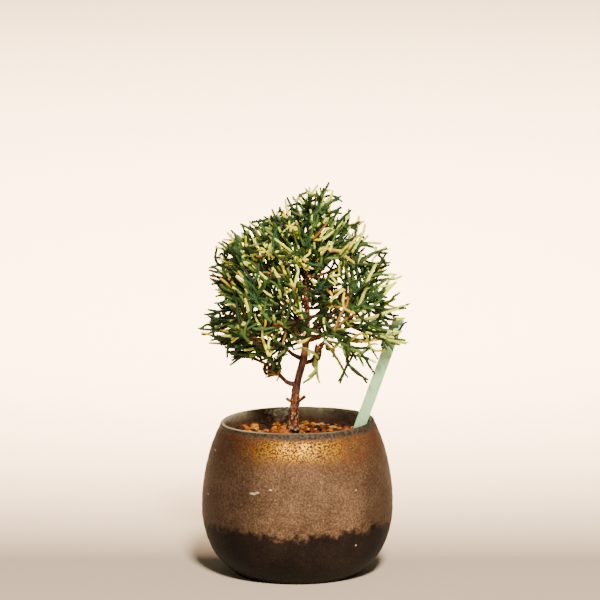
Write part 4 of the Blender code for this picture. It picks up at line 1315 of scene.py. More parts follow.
# How far back a lone shoot stands where no number of mm is given: near the crown's middle, or in its front.
MIDST, FRONT = "midst", "front"
MIDST_DEPTH = (-6.0, 3.0)
FRONT_SHARE = 0.8
LEAST_DEPTH = 0.1
# Shoots that stand out by themselves: (tone, tip's tone, depth, lines), each line from root to tip as
# x, height, x, height and so on. A height is the one seen from the front, in the crown's tipped plane.
LONE_SHOOTS = [
    # The spire and the crest to its left.
    ("deep", None, MIDST, [
        (10.2, 158, 10.4, 165, 11.2, 171, 13.7, 176.4), (11.5, 165, 15, 168, 18.2, 169.2),
        (9.3, 161, 9.6, 168.5, 8.4, 173.5), (5.2, 169, 4.9, 172, 3.7, 174.4),
        (0.5, 162.5, -2.4, 166, -4.6, 170.4), (-5.6, 158, -6.8, 162.5, -7.6, 165.4),
        (-4.6, 157, -5.8, 161.5, -6.3, 164.6), (-7, 157, -9.5, 160.4, -12.3, 162),
        (-7.5, 159, -8.8, 161, -10.3, 162.6), (7.4, 159, 8.6, 164, 9.4, 168), (3, 158, 4.6, 163, 5.4, 168),
        (12.4, 158, 12, 163, 12.4, 167.6),
    ]),
    ("green", None, MIDST, [
        (11, 170, 10.2, 174.6), (5, 165, 3.6, 168.6, 0.8, 172), (4.4, 162, 1.5, 166.6, -1.9, 170),
        (-12.8, 154, -13.8, 158.4, -16.9, 160.4), (-15, 150.5, -19.6, 155.2, -25.4, 158.4),
        (8, 168, 9.8, 170.6, 11.4, 172.8), (10.6, 160, 15, 163.4, 19.8, 163),
        (12.4, 167.6, 14, 169.8, 15.4, 169.6),
    ]),
    ("fresh", "cream", MIDST, [
        (11.6, 171.5, 13, 173.2, 15, 173.6), (12.5, 165.5, 14.6, 169.5, 15.9, 173.4),
        (12, 162, 14.2, 166, 15.4, 169.8), (5.2, 162, 5.6, 168, 6.7, 172.6, 9.2, 176),
        (5.6, 167, 5.7, 171, 5.4, 175), (4, 161.5, 0, 164.2, -2.6, 165),
        (-3.6, 161.5, -4.8, 165.5, -5.3, 169.6), (-7, 158, -8.2, 161.5, -9.2, 164),
        (-14, 153, -18, 156.8, -21.5, 159.6), (-11, 154.5, -12.5, 158.5, -12.2, 161.2),
        (10.6, 165, 10.9, 168.4, 12.2, 170.4),
    ]),
    # Down the left side.
    ("deep", None, MIDST, [
        (-22.6, 148, -23, 153.5, -24.6, 157.8), (-27.5, 138.4, -31, 142, -33.4, 144.2),
        (-28.5, 139.6, -31.4, 140.6, -34, 140.4), (-29, 138.2, -31.2, 139, -33.8, 138.6),
        (-28, 134.6, -33.6, 136.8, -38.2, 139.4), (-30, 135.2, -35.2, 136.4, -39.5, 137.6),
        (-26.5, 132.4, -33, 134, -39.3, 135.2), (-27, 131.2, -33, 131.8, -38.3, 131.2),
        (-32.4, 131.8, -34.2, 131.2, -35.6, 130.6), (-27, 129, -30, 129.6, -32.6, 129.6),
        (-22, 119.4, -26.4, 122.2, -30.2, 126.6), (-30.8, 114.8, -33, 119, -35.8, 122.4),
        (-29.6, 111.6, -34.8, 114.8, -39.3, 117.9), (-26, 109.8, -34, 110.2, -43.6, 110.9),
        (-30.5, 108.6, -35, 110, -39.6, 109.1), (-28, 105.8, -31, 105.2, -34.2, 104.6),
        (-29.4, 107, -31, 102.6, -31.4, 97.9), (-29, 102.6, -32.5, 102.4),
        (-22, 100.6, -26, 98.6, -29.4, 96.6), (-18, 102, -22, 100, -25.4, 97.6),
        (-21, 100.6, -24, 99.4, -28.6, 99.6), (-16, 101, -18.4, 99.2, -22, 98.8),
        (-15.5, 100.4, -13.6, 98, -12.6, 96), (-8.4, 91, -9.6, 94, -10.2, 98),
        (-9.2, 91.6, -11, 95, -12.4, 98.4), (-10, 95, -13, 98, -14.6, 101), (-8, 96, -8.6, 99, -7.4, 102),
        (-11, 97, -12.6, 101, -11.6, 104), (-9.6, 96, -6.4, 98.8, -4.2, 99.4),
    ]),
    ("green", None, MIDST, [
        (-24.6, 147, -26.8, 152.4, -29.6, 155.6), (-27, 124.4, -31, 123.6, -34.6, 123),
        (-30, 119.4, -33, 118.4, -35, 119.2), (-28, 105.4, -32.2, 106.8, -36.1, 108.1),
        (-22.6, 100, -26.2, 97.4, -30.1, 94.5), (-15.6, 102, -18.4, 99.6, -20.4, 96.6),
        (-8, 89.8, -8.6, 88.6, -9.2, 87.2), (-9, 94, -7.2, 97, -7.6, 100.4),
        (-10.4, 93.4, -12.2, 96.4, -15, 98.8),
    ]),
    ("green", "butter", MIDST, [
        (-25, 146.5, -28.2, 151.2, -31.2, 154.4), (-26.5, 148, -29.2, 150.8, -32.8, 151.4),
        (-28, 143.5, -32.2, 146.6, -36.4, 148), (-29.5, 114.2, -32.4, 115.2, -35.4, 114.8),
        (-29, 127.6, -32, 128.3, -34.4, 128.6), (-32.4, 146.6, -33.4, 150.2),
        (-30, 106.8, -32.6, 106.4, -34.2, 106.2), (-14.4, 101.4, -16.2, 99.4, -17.9, 97.8),
        (-8.6, 92, -8.2, 95.4, -9.4, 98.6),
    ]),
    ("butter", "cream", MIDST, [
        (-28.5, 126.4, -32, 127, -35.3, 127.4), (-29.5, 126.6, -32, 126, -34.2, 126),
        (-28.5, 145, -30.6, 147.5, -31.5, 148.6), (-30, 140.4, -32.8, 141.8, -35.4, 142.6),
        (-25.6, 119.6, -29, 120.2, -32.5, 118.6),
    ]),
    # The dried tuft at the lower left bough's tip.
    ("russet", None, -3, [
        (-10.6, 92.6, -12.4, 94.2, -14.4, 94.4), (-10.2, 91.4, -12.2, 93, -13.6, 95.8),
        (-9.4, 90.4, -12, 89.6, -14.1, 89.1), (-9.8, 91.4, -11.2, 93.4, -12, 95.6),
    ]),
    ("tan", None, -4, [(-9.8, 91, -12, 92, -13.8, 92.6), (-9.2, 90, -11.6, 90.4, -13.2, 90.2)]),
    # The right side, from the crest down.
    ("deep", None, MIDST, [
        (15.5, 154.5, 19.4, 160.4, 24, 164.6), (19.4, 154, 20.8, 157.2, 22.6, 160),
        (24.6, 151.5, 25.8, 155, 26.5, 158.2), (26, 148.6, 27.8, 151.4, 29, 154.2),
        (22.6, 147.6, 28, 149.6, 33.8, 149.9), (22, 147, 29.4, 148.8, 35.5, 147.4),
        (33.8, 135.4, 37, 140.8, 39.7, 145.3), (28.4, 125.6, 33, 125.6, 36.6, 125.1),
        (29, 124.6, 32.4, 130, 36, 134.4), (24, 136, 26.4, 131, 27.6, 126.4),
        (38, 118.2, 43, 119.8, 48.6, 120.4), (29.6, 119.6, 35.4, 118.2, 40.8, 115),
        (24, 142.6, 26, 146.4, 29, 149), (25, 122, 27.6, 127, 29.4, 132),
    ]),
    ("green", None, MIDST, [
        (24.6, 140.9, 29, 141.2, 33, 145, 40.3, 147.2), (25.6, 141.4, 31, 140.2, 35.6, 139.8),
        (32.6, 136, 33.2, 139.6), (30.4, 126.8, 36, 129.8, 42.6, 130.4),
        (36.4, 130.2, 37.8, 132.4, 39.4, 133.8), (25.4, 117, 23.6, 126, 23.2, 132, 21.2, 138.8),
        (24.4, 140.6, 27, 135.6, 28.6, 130.6), (27, 140.2, 29.6, 136.4, 31.2, 133.6),
        (26, 120.4, 32, 121.2, 41.6, 119.6), (38.8, 114.4, 40.8, 112.6, 42.4, 110.4),
        (21.6, 114.6, 27, 114.6, 35.2, 115.9), (22, 115.4, 27.6, 115, 31.2, 118.2),
    ]),
    ("green", "cream", MIDST, [
        (19.6, 155, 22.4, 156.8, 25.1, 157.4), (30, 133.4, 37, 135.4, 44.4, 135.6),
        (33, 131.2, 39.4, 133.6, 43.4, 133.6, 46.9, 134.9), (33.4, 120.6, 37, 126, 40, 129.2, 44.2, 132.2),
        (38, 117.6, 41.6, 115.2, 48.2, 115.8), (26, 147.8, 31, 149.8, 37.4, 149.6),
        (33, 138.6, 33.7, 142.2, 35.4, 144.4), (17.5, 157.5, 20.5, 160.6, 23.2, 163),
    ]),
    ("lime", "cream", MIDST, [
        (17.8, 156.6, 20.6, 159.4, 23, 161.6), (25.2, 152, 26.8, 157.4, 27.6, 162),
        (28, 151.6, 29.6, 155.2, 30.3, 158.6), (31.4, 134.6, 34.6, 138.4, 38, 139.8),
        (32.4, 134.4, 36, 137.4, 38.4, 138), (26.4, 119, 24.8, 127, 24.2, 134),
        (28, 123.4, 30, 128.4, 31.4, 133.4), (29.4, 125, 31, 130.4, 33.4, 133.6),
        (34, 115.2, 38.4, 117.6, 42.6, 119.8), (44, 120.6, 46.6, 121.4, 48.4, 121.6),
    ]),
    ("butter", "gold", MIDST, [(20, 145.6, 23.6, 148.4, 27.2, 153.4), (20.6, 147.4, 24, 150.4, 28.6, 154)]),
    # The low right side, in front of the label, and the shoots that hang down.
    ("deep", None, -8, [
        (21.6, 114, 27, 112.6, 34, 109.8, 40, 108), (36, 109.4, 42.6, 106.8, 48.2, 105.9),
        (35.6, 115.4, 37, 112.4, 38.6, 109), (38.4, 106.4, 39.6, 104.8, 40.4, 103.2),
        (18.6, 110, 22.8, 109.2, 27.2, 108), (20.6, 104.8, 26, 102.4, 33.2, 102.6),
        (25.4, 102.4, 29.6, 98.6, 32, 94.6, 34.6, 90.6), (32.4, 102, 34.4, 99.8, 35.9, 97.4),
        (21.2, 92.4, 19.6, 89.2, 18.2, 87.2),
        (16.4, 108.4, 20, 104.8, 21.9, 101, 22.4, 96, 21, 91.6, 19, 86.3), (22.4, 96, 25.6, 92.6, 29.9, 88.8),
    ]),
    ("green", None, -9, [
        (37.4, 107.8, 40.6, 104.6, 42.8, 101.3), (22.4, 100, 23.4, 98.9, 24.4, 98.9),
        (11.6, 107.8, 14.4, 104.6, 16.9, 102.6), (-6, 114, 1, 113.4, 6, 110.6, 12, 108.2, 16.6, 107.6),
    ]),
    ("green", "gold", -8, [(18.6, 107.4, 26, 105.2, 36.8, 106.2), (17.6, 108.4, 24, 105.6, 33, 105.6)]),
    ("lime", "cream", -8, [
        (37.6, 108.8, 41.8, 106.4, 45.8, 104.4), (40, 106.2, 45, 105.4, 49.4, 104.8),
        (33, 102.4, 36.4, 101, 39.6, 102.4), (31.6, 103.2, 34, 104.2, 36, 104),
    ]),
    ("gold", "butter", -10, [(25, 106.6, 27.4, 108.6, 30.6, 109.4), (26, 108, 29, 108.8, 30.6, 107.4)]),
    ("fresh", "lime", -4, [(8.3, 99, 8.3, 95, 7.9, 92, 5, 89.4), (8, 92.8, 9.2, 89.2, 10, 86.4)]),
    ("green", "butter", -7, [(-4.6, 103.2, 0.4, 104.8, 3.4, 105.6, 6.4, 108.2)]),
    ("tan", None, -4, [(8.2, 100.6, 9.6, 103.4, 11.8, 105.2), (8.6, 101.4, 10.8, 102.8, 12.2, 104.2)]),
    ("russet", None, -5, [(7.8, 100.2, 8.2, 102.6, 8.9, 104.4), (8.4, 100, 10.4, 101.4, 11.4, 103)]),
    ("green", "cream", -9, [(33, 113.6, 38, 110.8, 44.4, 109.6), (34, 111.6, 39, 108.4, 43, 107)]),
    ("deep", None, -9, [(34.6, 112.8, 39.6, 112.6, 45, 111.8), (36, 110, 40.4, 110.4, 44.6, 112.6)]),
    ("fresh", "lime", -9, [(36, 107.6, 41, 108.2, 46.6, 110)]),
    # The long shoots on the right side's front.
    ("deep", None, -9, [
        (22, 115, 24.6, 121, 27.4, 126, 28.3, 132, 26.4, 138.4, 24, 144),
        (26, 124, 29, 128.4, 31.6, 131.6, 34.4, 133.8), (31, 126.6, 35.6, 126.2, 40, 125.2),
        (37.6, 115.4, 41, 112, 43.6, 108.4), (23, 140.4, 28, 140.2, 33, 139.8),
        (19.4, 142, 16.6, 144.8, 12.8, 144.6, 10.4, 142.4), (28, 121, 33, 121.4, 38, 120, 43, 119.6),
        (20.4, 130.4, 24, 134, 26.6, 136), (14, 112.6, 18.4, 116, 22.4, 121, 24, 126),
        (26, 112, 31, 113, 36, 115),
    ]),
    ("green", None, -10, [
        (21, 113.6, 22.4, 119.6, 24, 126, 23, 133, 21.4, 139, 22.6, 144.6, 25.2, 149),
        (31, 134.4, 36, 135.7, 40.6, 135), (30.6, 128.6, 35, 130.4, 38.6, 132.4, 40.6, 134),
        (27, 121.6, 26.2, 127.4, 24.8, 133.6, 24.6, 139.6), (10.6, 120, 13, 123.6, 14.4, 127.4),
        (7, 113.4, 11, 116.4, 16.6, 118), (24, 128, 25.6, 131.6, 25, 135),
    ]),
    ("green", "cream", -10, [
        (26.4, 121, 31, 121, 35, 122, 38, 125.6, 41, 129, 43.6, 131.6), (34, 127, 37, 130, 40.4, 130.4),
        (29, 131.4, 32.4, 135.4, 34.6, 140), (24, 137.6, 27, 141.6, 28.6, 145.4),
    ]),
    ("lime", "cream", -11, [
        (27.4, 121.4, 29.6, 127, 31, 132, 33.4, 137, 35.4, 141),
        (22.4, 114.2, 28, 115, 34, 116.4, 40, 118.6, 45, 120), (31, 131, 32.4, 133.2),
        (30.2, 128.4, 31.8, 129.4), (20.4, 139.4, 17, 137.4, 14.4, 135.8),
    ]),
    ("gold", "butter", -12, [
        (14.6, 126.4, 18, 128.4, 20.6, 129), (17.4, 121, 20, 121.6, 21.8, 124, 21, 127),
    ]),
    ("tan", None, -12, [
        (20.4, 128, 22.4, 125.2, 21.6, 122.4, 18.6, 120.6), (4.6, 138.4, 8, 138.2, 12, 137.6),
    ]),
    # Pale shoots on the crown's front.
    ("butter", "cream", FRONT, [
        (-3.2, 156.8, -5, 157.2, -7.2, 157.2), (-3.4, 156.8, -3.6, 159.4),
        (-3, 157, -4.8, 155.6, -6.4, 154.4), (-2.4, 156.6, -3.4, 154, -4.4, 152.2),
        (-2, 156.4, -0.4, 156.4, 0.6, 154.4), (-2.8, 157.2, -1.2, 158.6),
        (-12.4, 146, -14, 147.6, -14.6, 149.6), (-12.4, 146, -12.2, 148.4, -11, 149.6),
        (-12, 145.6, -10.8, 147, -10.2, 148.8), (-13, 145.2, -14.6, 146.4, -15.8, 147.4),
        (-13, 145, -14.6, 143.4, -15, 141.4), (-11.8, 144.8, -10.6, 142.6), (-12.4, 145, -12.4, 142.2),
        (-11.6, 145.4, -8.8, 145.6, -6.6, 147.4), (-17.4, 146.8, -18.4, 149.6, -19.6, 151.6),
        (6.8, 152.6, 5.4, 155.4, 7.2, 157.8), (3, 149.6, 3.4, 153, 6.4, 155.8),
        (10, 151, 12.6, 152, 15.8, 154.8), (-16.8, 113.4, -15.4, 110.4, -15.6, 106.4),
        (-22, 113.4, -25, 112.8, -27.6, 111.6), (-23, 109.8, -26.4, 107.4, -29.2, 105),
        (-25.8, 111.4, -27.6, 108.4, -29.2, 106.4), (-5.4, 143.2, -4.6, 140.6), (4, 137.6, 5, 138.4, 7, 138),
    ]),
    ("cream", None, FRONT, [
        (-20, 144, -22.6, 144.2, -24.6, 143.2), (-20.4, 139.6, -23, 141.6, -24.6, 143.4),
        (-22, 125.2, -25, 127, -28.6, 129.8), (-5.4, 136.2, -6.6, 139.4, -8, 142.4),
        (-0.6, 141.2, -1.2, 143, -2.6, 144.6), (0.4, 142.2, 2.6, 142.3, 4.8, 142),
        (5.2, 144.6, 5.6, 146.4, 6.4, 148.4), (-4, 146.8, -3, 146, -1.8, 145.4),
        (-1.2, 146, 0.2, 146, 1.4, 146.2), (6.4, 158.8, 6.4, 161.4, 5.8, 164.6), (9, 157.2, 10, 158.6),
        (10.4, 152.4, 12.8, 155.6, 15.8, 156.6), (17.6, 135, 15, 134.8, 12.4, 133.6),
        (17.4, 130.4, 14.6, 132, 12.4, 133.8), (17.2, 131.6, 16.2, 133.2, 15.2, 134.2),
        (15.2, 124.2, 18, 126.8, 20.6, 128.8), (-0.6, 127.4, -2, 130.8, -3, 133.4),
        (-1, 129, -0.6, 133, 0.4, 137, -0.6, 140), (0.4, 118, -0.4, 121.4, -0.4, 124.4),
        (-1.2, 118.6, -1.6, 122), (1, 117.4, 1.6, 120, 1, 123), (-12.6, 99.2, -14, 103, -15.6, 107.6),
        (-12.8, 102.6, -12.6, 105.8, -13.4, 109), (-22, 126.4, -22, 128.4, -21.4, 130.4),
        (-16.4, 130.4, -17.2, 133, -18.6, 135.6), (-15, 152.6, -16.2, 154), (2.2, 115.8, 2.8, 118),
        (-17.6, 114.4, -18.8, 117.4),
    ]),
    ("green", "cream", FRONT, [
        (-3.4, 149.2, -7.6, 150.4, -10.6, 151.6, -14, 153.8), (-5, 151.4, -8.8, 156, -11.6, 159),
        (-13.4, 122, -16.8, 124.6, -20.4, 127.4), (-7.4, 129.8, -8.4, 134, -11, 138.6),
        (-9.6, 131, -13, 133, -16.8, 136.6),
    ]),
    ("gold", "butter", FRONT, [
        (9.6, 145.8, 11.6, 147.4, 15, 146.8, 19, 149.4), (11.6, 147, 17, 146.2, 22, 145.8),
        (21, 144.2, 23.4, 148, 25.8, 151.8), (12.8, 129.2, 15, 126.8, 15.4, 125),
        (20.8, 120.4, 20.2, 124, 20.8, 127.4), (-14.2, 112.8, -15.4, 111.4, -16.6, 113),
    ]),
    ("tan", None, FRONT, [
        (16.4, 146, 18.6, 145.4, 21.4, 145.2), (19.6, 118.4, 21.8, 121.6, 22.6, 125),
        (-11.4, 135.8, -13.2, 136.4, -15.2, 136.4), (-5.2, 109.2, -6, 110.8, -7.2, 112.2),
        (-6, 119.6, -5.6, 121.6, -5.8, 124), (-18.6, 125, -19, 128), (22, 116, 24.8, 117, 27, 116.2),
    ]),
    ("russet", None, FRONT, [
        (-20.4, 125.6, -20.8, 129.4), (-10.6, 134.6, -11.4, 137.4, -10.6, 139.2),
        (1.6, 115.6, 0.4, 117.6, -0.6, 120),
    ]),
]
# How many of its side cords and spurs a mass keeps, where that is fewer than all. A mass that keeps none
# has lone shoots in its fingers' place.
MASS_KEEPS = {
    "foliage_stub_sprig": 0.0, "foliage_hanging": 0.15, "foliage_far_right": 0.35, "foliage_right": 0.36,
    "foliage_upper_right": 0.45, "foliage_crest_right": 0.75, "foliage_front_right": 0.6,
    "foliage_back_right": 0.4,
}


def in_opening(point):
    """True where the crown stands open."""
    openings = OPENINGS + (FRONT_OPENINGS if point[1] <= FRONT_FROM else [])
    return any(((point[0] - x) / wide) ** 2 + ((seen_height(point) - middle) / high) ** 2 < 1
               for x, middle, wide, high in openings)


def in_heart(point):
    """True where the crown is close-grown as seen from the front. Lone shoots stand out past it."""
    height = seen_height(point)
    left, right, _ = crown_at(height)
    return (left + HEART_INSET[0] < point[0] < right - HEART_INSET[1] and height < HEART_TOP
            and height > (HANGING_FROM if point[0] > 0 else underside_at(point[0]) + HEART_INSET[2]))


def fine_room(point):
    """How much further apart the finer twigs are at a place: none are in an opening, and few on the right."""
    if in_opening(point) or not in_heart(point):
        return NO_ROOM
    return OPEN_SIDE_ROOM if point[0] > OPEN_SIDE and point[2] < TOP_HEIGHT else 1.0


def fits(space, taken, name, line):
    """True if a cord stays in its mass's space and the crown, clear of the openings and the other cords."""
    if not in_crown(line[-1], CORD_OVERREACH) or not in_heart(line[-1]) or any(map(in_opening, line[1:])):
        return False
    points = smooth_line(line, CORD_PROBES)
    return (space.clear(points, CORD_SIZE) and space.keeps_to(name, points[-1:], CORD_WALL)
            and taken.leaves_room(line, CORD_SIZE, CORD_ROOM, CORD_ROOT))


def side_cords(rng, space, taken, name, line, start, pitch, longest, keep):
    """Cords set by turns along the two sides of a line, each bent forwards, and shorter where space ends."""
    flat = fan_side(rng, line)
    count = int(line_length(line) * (1 - start) / pitch + rng.uniform(0, 1))
    first_side = rng.integers(2)
    cords = []
    for k in range(count):
        share = start + (1 - start) * (k + rng.uniform(*SIDE_STRAYS)) / count
        place, run, _ = along(line, share)
        angle = SIDE_ANGLE + rng.uniform(-1, 1) * SIDE_ANGLE_SPREAD
        direction = turned(run, unit(np.cross(run, flat)), angle if (k + first_side) % 2 else -angle)
        direction = turned(direction, run, rng.uniform(-1, 1) * SIDE_TWIST)
        long = longest * (1 - SIDE_SHORTENS * share) * (1 + rng.uniform(-1, 1) * SIDE_SPREAD)
        outward = unit(place - OUTWARD_FROM)
        direction = unit(direction + outward * OUTWARD * ROOT_OUTWARD)
        ahead = unit(direction + run * SIDE_FORWARD + outward * OUTWARD)
        if rng.uniform() > keep:
            continue
        for cut in SIDE_CUTS:
            middle = place + direction * long * cut / 2
            cord = np.array([place, middle, middle + ahead * long * cut / 2])
            if fits(space, taken, name, cord):
                taken.add(cord, CORD_SIZE)
                cords.append(cord)
                break
    return cords


def lone_shoots(rng, space):
    """The lone shoots as (mass, tone, tip's tone, line)."""
    shoots = []
    for tone, tip_tone, depth, lines in LONE_SHOOTS:
        for numbers in lines:
            line = np.array(numbers, float).reshape(-1, 2)
            back = rng.uniform(*MIDST_DEPTH)
            if depth == FRONT:
                left, right, deep = crown_at(line[-1, 1])
                across = (line[-1, 0] - (left + right) / 2) / ((right - left) / 2)
                back = -deep * math.sqrt(max(LEAST_DEPTH, 1 - across ** 2)) * FRONT_SHARE
            elif depth != MIDST:
                back = depth
            line = np.column_stack([line[:, 0], np.full(len(line), back), line[:, 1] - CROWN_PITCH * back])
            shoots.append((space.owner(line[0]), tone, tip_tone, line))
    return shoots


def rooted(nodes, line):
    """A lone shoot's line, led in from the twig that it can best leave from."""
    run = unit(line[1] - line[0])
    costs = []
    for node in nodes:
        reach = np.linalg.norm(line[0] - node.place)
        costs.append(reach * (1 + LONE_TURNING * (1 - run.dot(line[0] - node.place) / max(reach, 0.001))))
    place = nodes[int(np.argmin(costs))].place
    return np.vstack([place, line]) if np.linalg.norm(place - line[0]) > 1 else line


def deal(rng, shares):
    """The number of a tone, dealt out by the tones' shares."""
    weights = np.array(list(shares.values()))
    return TONES.index(list(shares)[rng.choice(len(shares), p=weights / weights.sum())])


def scale_cord(line, radii, turn):
    """The rings of a cord clad in crossed pairs of scale leaves, and where along it each lies, 0 to 1."""
    fine = smooth_line(line, 3 * len(line) + 4)
    run = distance_along(fine)
    length = run[-1]
    pairs = max(2, round(length / SCALE_PITCH))
    places, girths = [], []
    for pair in range(pairs):
        for place, over_leaf, between, other in SCALE_SHAPE:
            sides = np.array([over_leaf, between, other, between] * (CORD_SIDES // 4))
            places.append((pair + place) / pairs)
            girths.append(np.roll(sides, 2 * (pair % 2)))
    places = np.array(places + [1 + ahead / length for ahead, _ in TIP_SHAPE])
    girths = np.array(girths + [np.full(CORD_SIDES, girth) for _, girth in TIP_SHAPE])
    points = np.column_stack([np.interp(np.minimum(places, 1) * length, run, column) for column in fine.T])
    points = points + np.outer(np.maximum(places - 1, 0) * length, unit(fine[-1] - fine[-2]))
    runs, sides, overs = frames_along(points)
    girths = girths * np.interp(places, np.linspace(0, 1, len(radii)), radii)[:, None]
    turns = turn + np.arange(CORD_SIDES) * math.tau / CORD_SIDES
    rings = (points[:, None] + girths[..., None] * (sides[:, None] * np.cos(turns)[:, None]
                                                    + overs[:, None] * np.sin(turns)[:, None]))
    return rings, places


class Cords:
    """Cords gathered to be joined into one piece."""

    def __init__(self):
        self.corners, self.quads, self.ends = [], [], []
        self.quad_tones, self.end_tones = [], []
        self.count = 0

    def add(self, line, radii, turn, tone, tip_tone=None, tip_from=1.0):
        rings, places = scale_cord(line, radii, turn)
        rows = len(rings)
        quads, ends = tube_faces(rows, CORD_SIDES)
        tip_tone = tone if tip_tone is None else tip_tone
        row_tones = np.where(places[:-1] < tip_from, tone, tip_tone)
        self.corners.append(rings.reshape(-1, 3))
        self.quads.append(quads + self.count)
        self.ends.append(ends + self.count)
        self.quad_tones.append(np.repeat(row_tones, CORD_SIDES))
        self.end_tones.append([row_tones[0], row_tones[-1]])
        self.count += rows * CORD_SIDES

    def piece(self, name, finishes):
        tones = np.concatenate(self.quad_tones + self.end_tones)
        faces = [np.vstack(self.quads), np.vstack(self.ends)]
        return make_piece(name, np.vstack(self.corners), faces, finishes, tones)


def cord_radius(beyond):
    return CORD_RADIUS + CORD_THICKENS * (1 - math.exp(-beyond / CORD_THICK_BY))


def add_axis(rng, shoots, twigs, line, beyond, tone, tips):
    """One stem or twig, drawn as wood as far as its foliage is old, and green from there on."""
    fine = smooth_line(np.column_stack([line, beyond]), 4 * (len(line) - 1) + 1)
    wood = int((fine[:, 3] > WOODY_FROM).sum())
    turn = rng.uniform(0, 1)
    if wood > 1:
        shares = [share for _, share in WOOD_TONES.values()]
        twigs.add(fine[:wood, :3], [cord_radius(b) for b in fine[:wood, 3]], turn,
                  int(rng.choice(len(shares), p=shares)))
    if wood < len(fine) - 1:
        part = fine[max(wood - 1, 0):]
        radii = np.array([cord_radius(b) for b in part[:, 3]])
        if part[-1, 3] < 0.1:
            radii *= np.interp(np.linspace(0, 1, len(radii)), np.linspace(0, 1, len(CORD_TAPER)), CORD_TAPER)
        shoots.add(part[:, :3], radii, turn, tone, *tips)


def cord_tones(rng, spray_tone, tip):
    """A cord's tone, its tip's tone, and where along it the tip's begins."""
    # Most cords in the hollow take the shadow tone, as painted shade.
    x, middle, wide, high = HOLLOW
    off = math.hypot((tip[0] - x) / wide, (seen_height(tip) - middle) / high)
    if off < 1 and rng.uniform() < HOLLOW_PAINTED_SHADE:
        return TONES.index("shadow"), None, 1.0
    outness = np.interp(crown_share(tip), (PALE_INSIDE, 1.0), (0, 1))
    chance = rng.uniform()
    sunny = SUNNY_PALES if tip[2] > SUNNY_HEIGHT or tip[0] > SUNNY_SIDE else 1.0
    pale = np.interp(outness, (0, 1), PALE_CORDS) * sunny
    tips = pale + PALE_TIPS * sunny
    if chance < pale:
        return deal(rng, PALES), None, 1.0
    if chance < tips:
        return spray_tone, deal(rng, PALES), rng.uniform(*PALE_TIP_FROM)
    if chance < tips + FRESH_CORDS:
        return TONES.index("fresh"), None, 1.0
    if chance > 1 - DRY_CORDS:
        return TONES.index(rng.choice(DRY_TONES)), None, 1.0
    return spray_tone, None, 1.0


def plan_leads(rng, sprays):
    """Where each stem or twig that ends in the air goes on to, past its last place. The others have None."""
    leads = []
    for axis, beyond in sprays:
        lead = None
        if beyond[-1] < 0.1:
            run = unit(axis[-1] - axis[-2])
            lead = axis[-1] + unit(run + unit(axis[-1] - OUTWARD_FROM) * OUTWARD) * rng.uniform(*LEAD_LENGTH)
            while not in_crown(lead, CORD_OVERREACH) and np.linalg.norm(lead - axis[-1]) > 1:
                lead = (lead + axis[-1]) / 2
        leads.append(lead)
    return leads


def hangs(point):
    return point[2] < HANGING_BELOW and point[0] > HANGING_RIGHT


wood_finishes = [new_finish(name, colour(*steps), 0.75, Specular_IOR_Level=0.25)[0]
                 for name, (steps, _) in WOOD_TONES.items()]
leaf_finishes = [new_finish("leaf_" + name, colour(*steps), 0.55, Specular_IOR_Level=0.25)[0]
                 for name, steps in LEAF_TONES.items()]

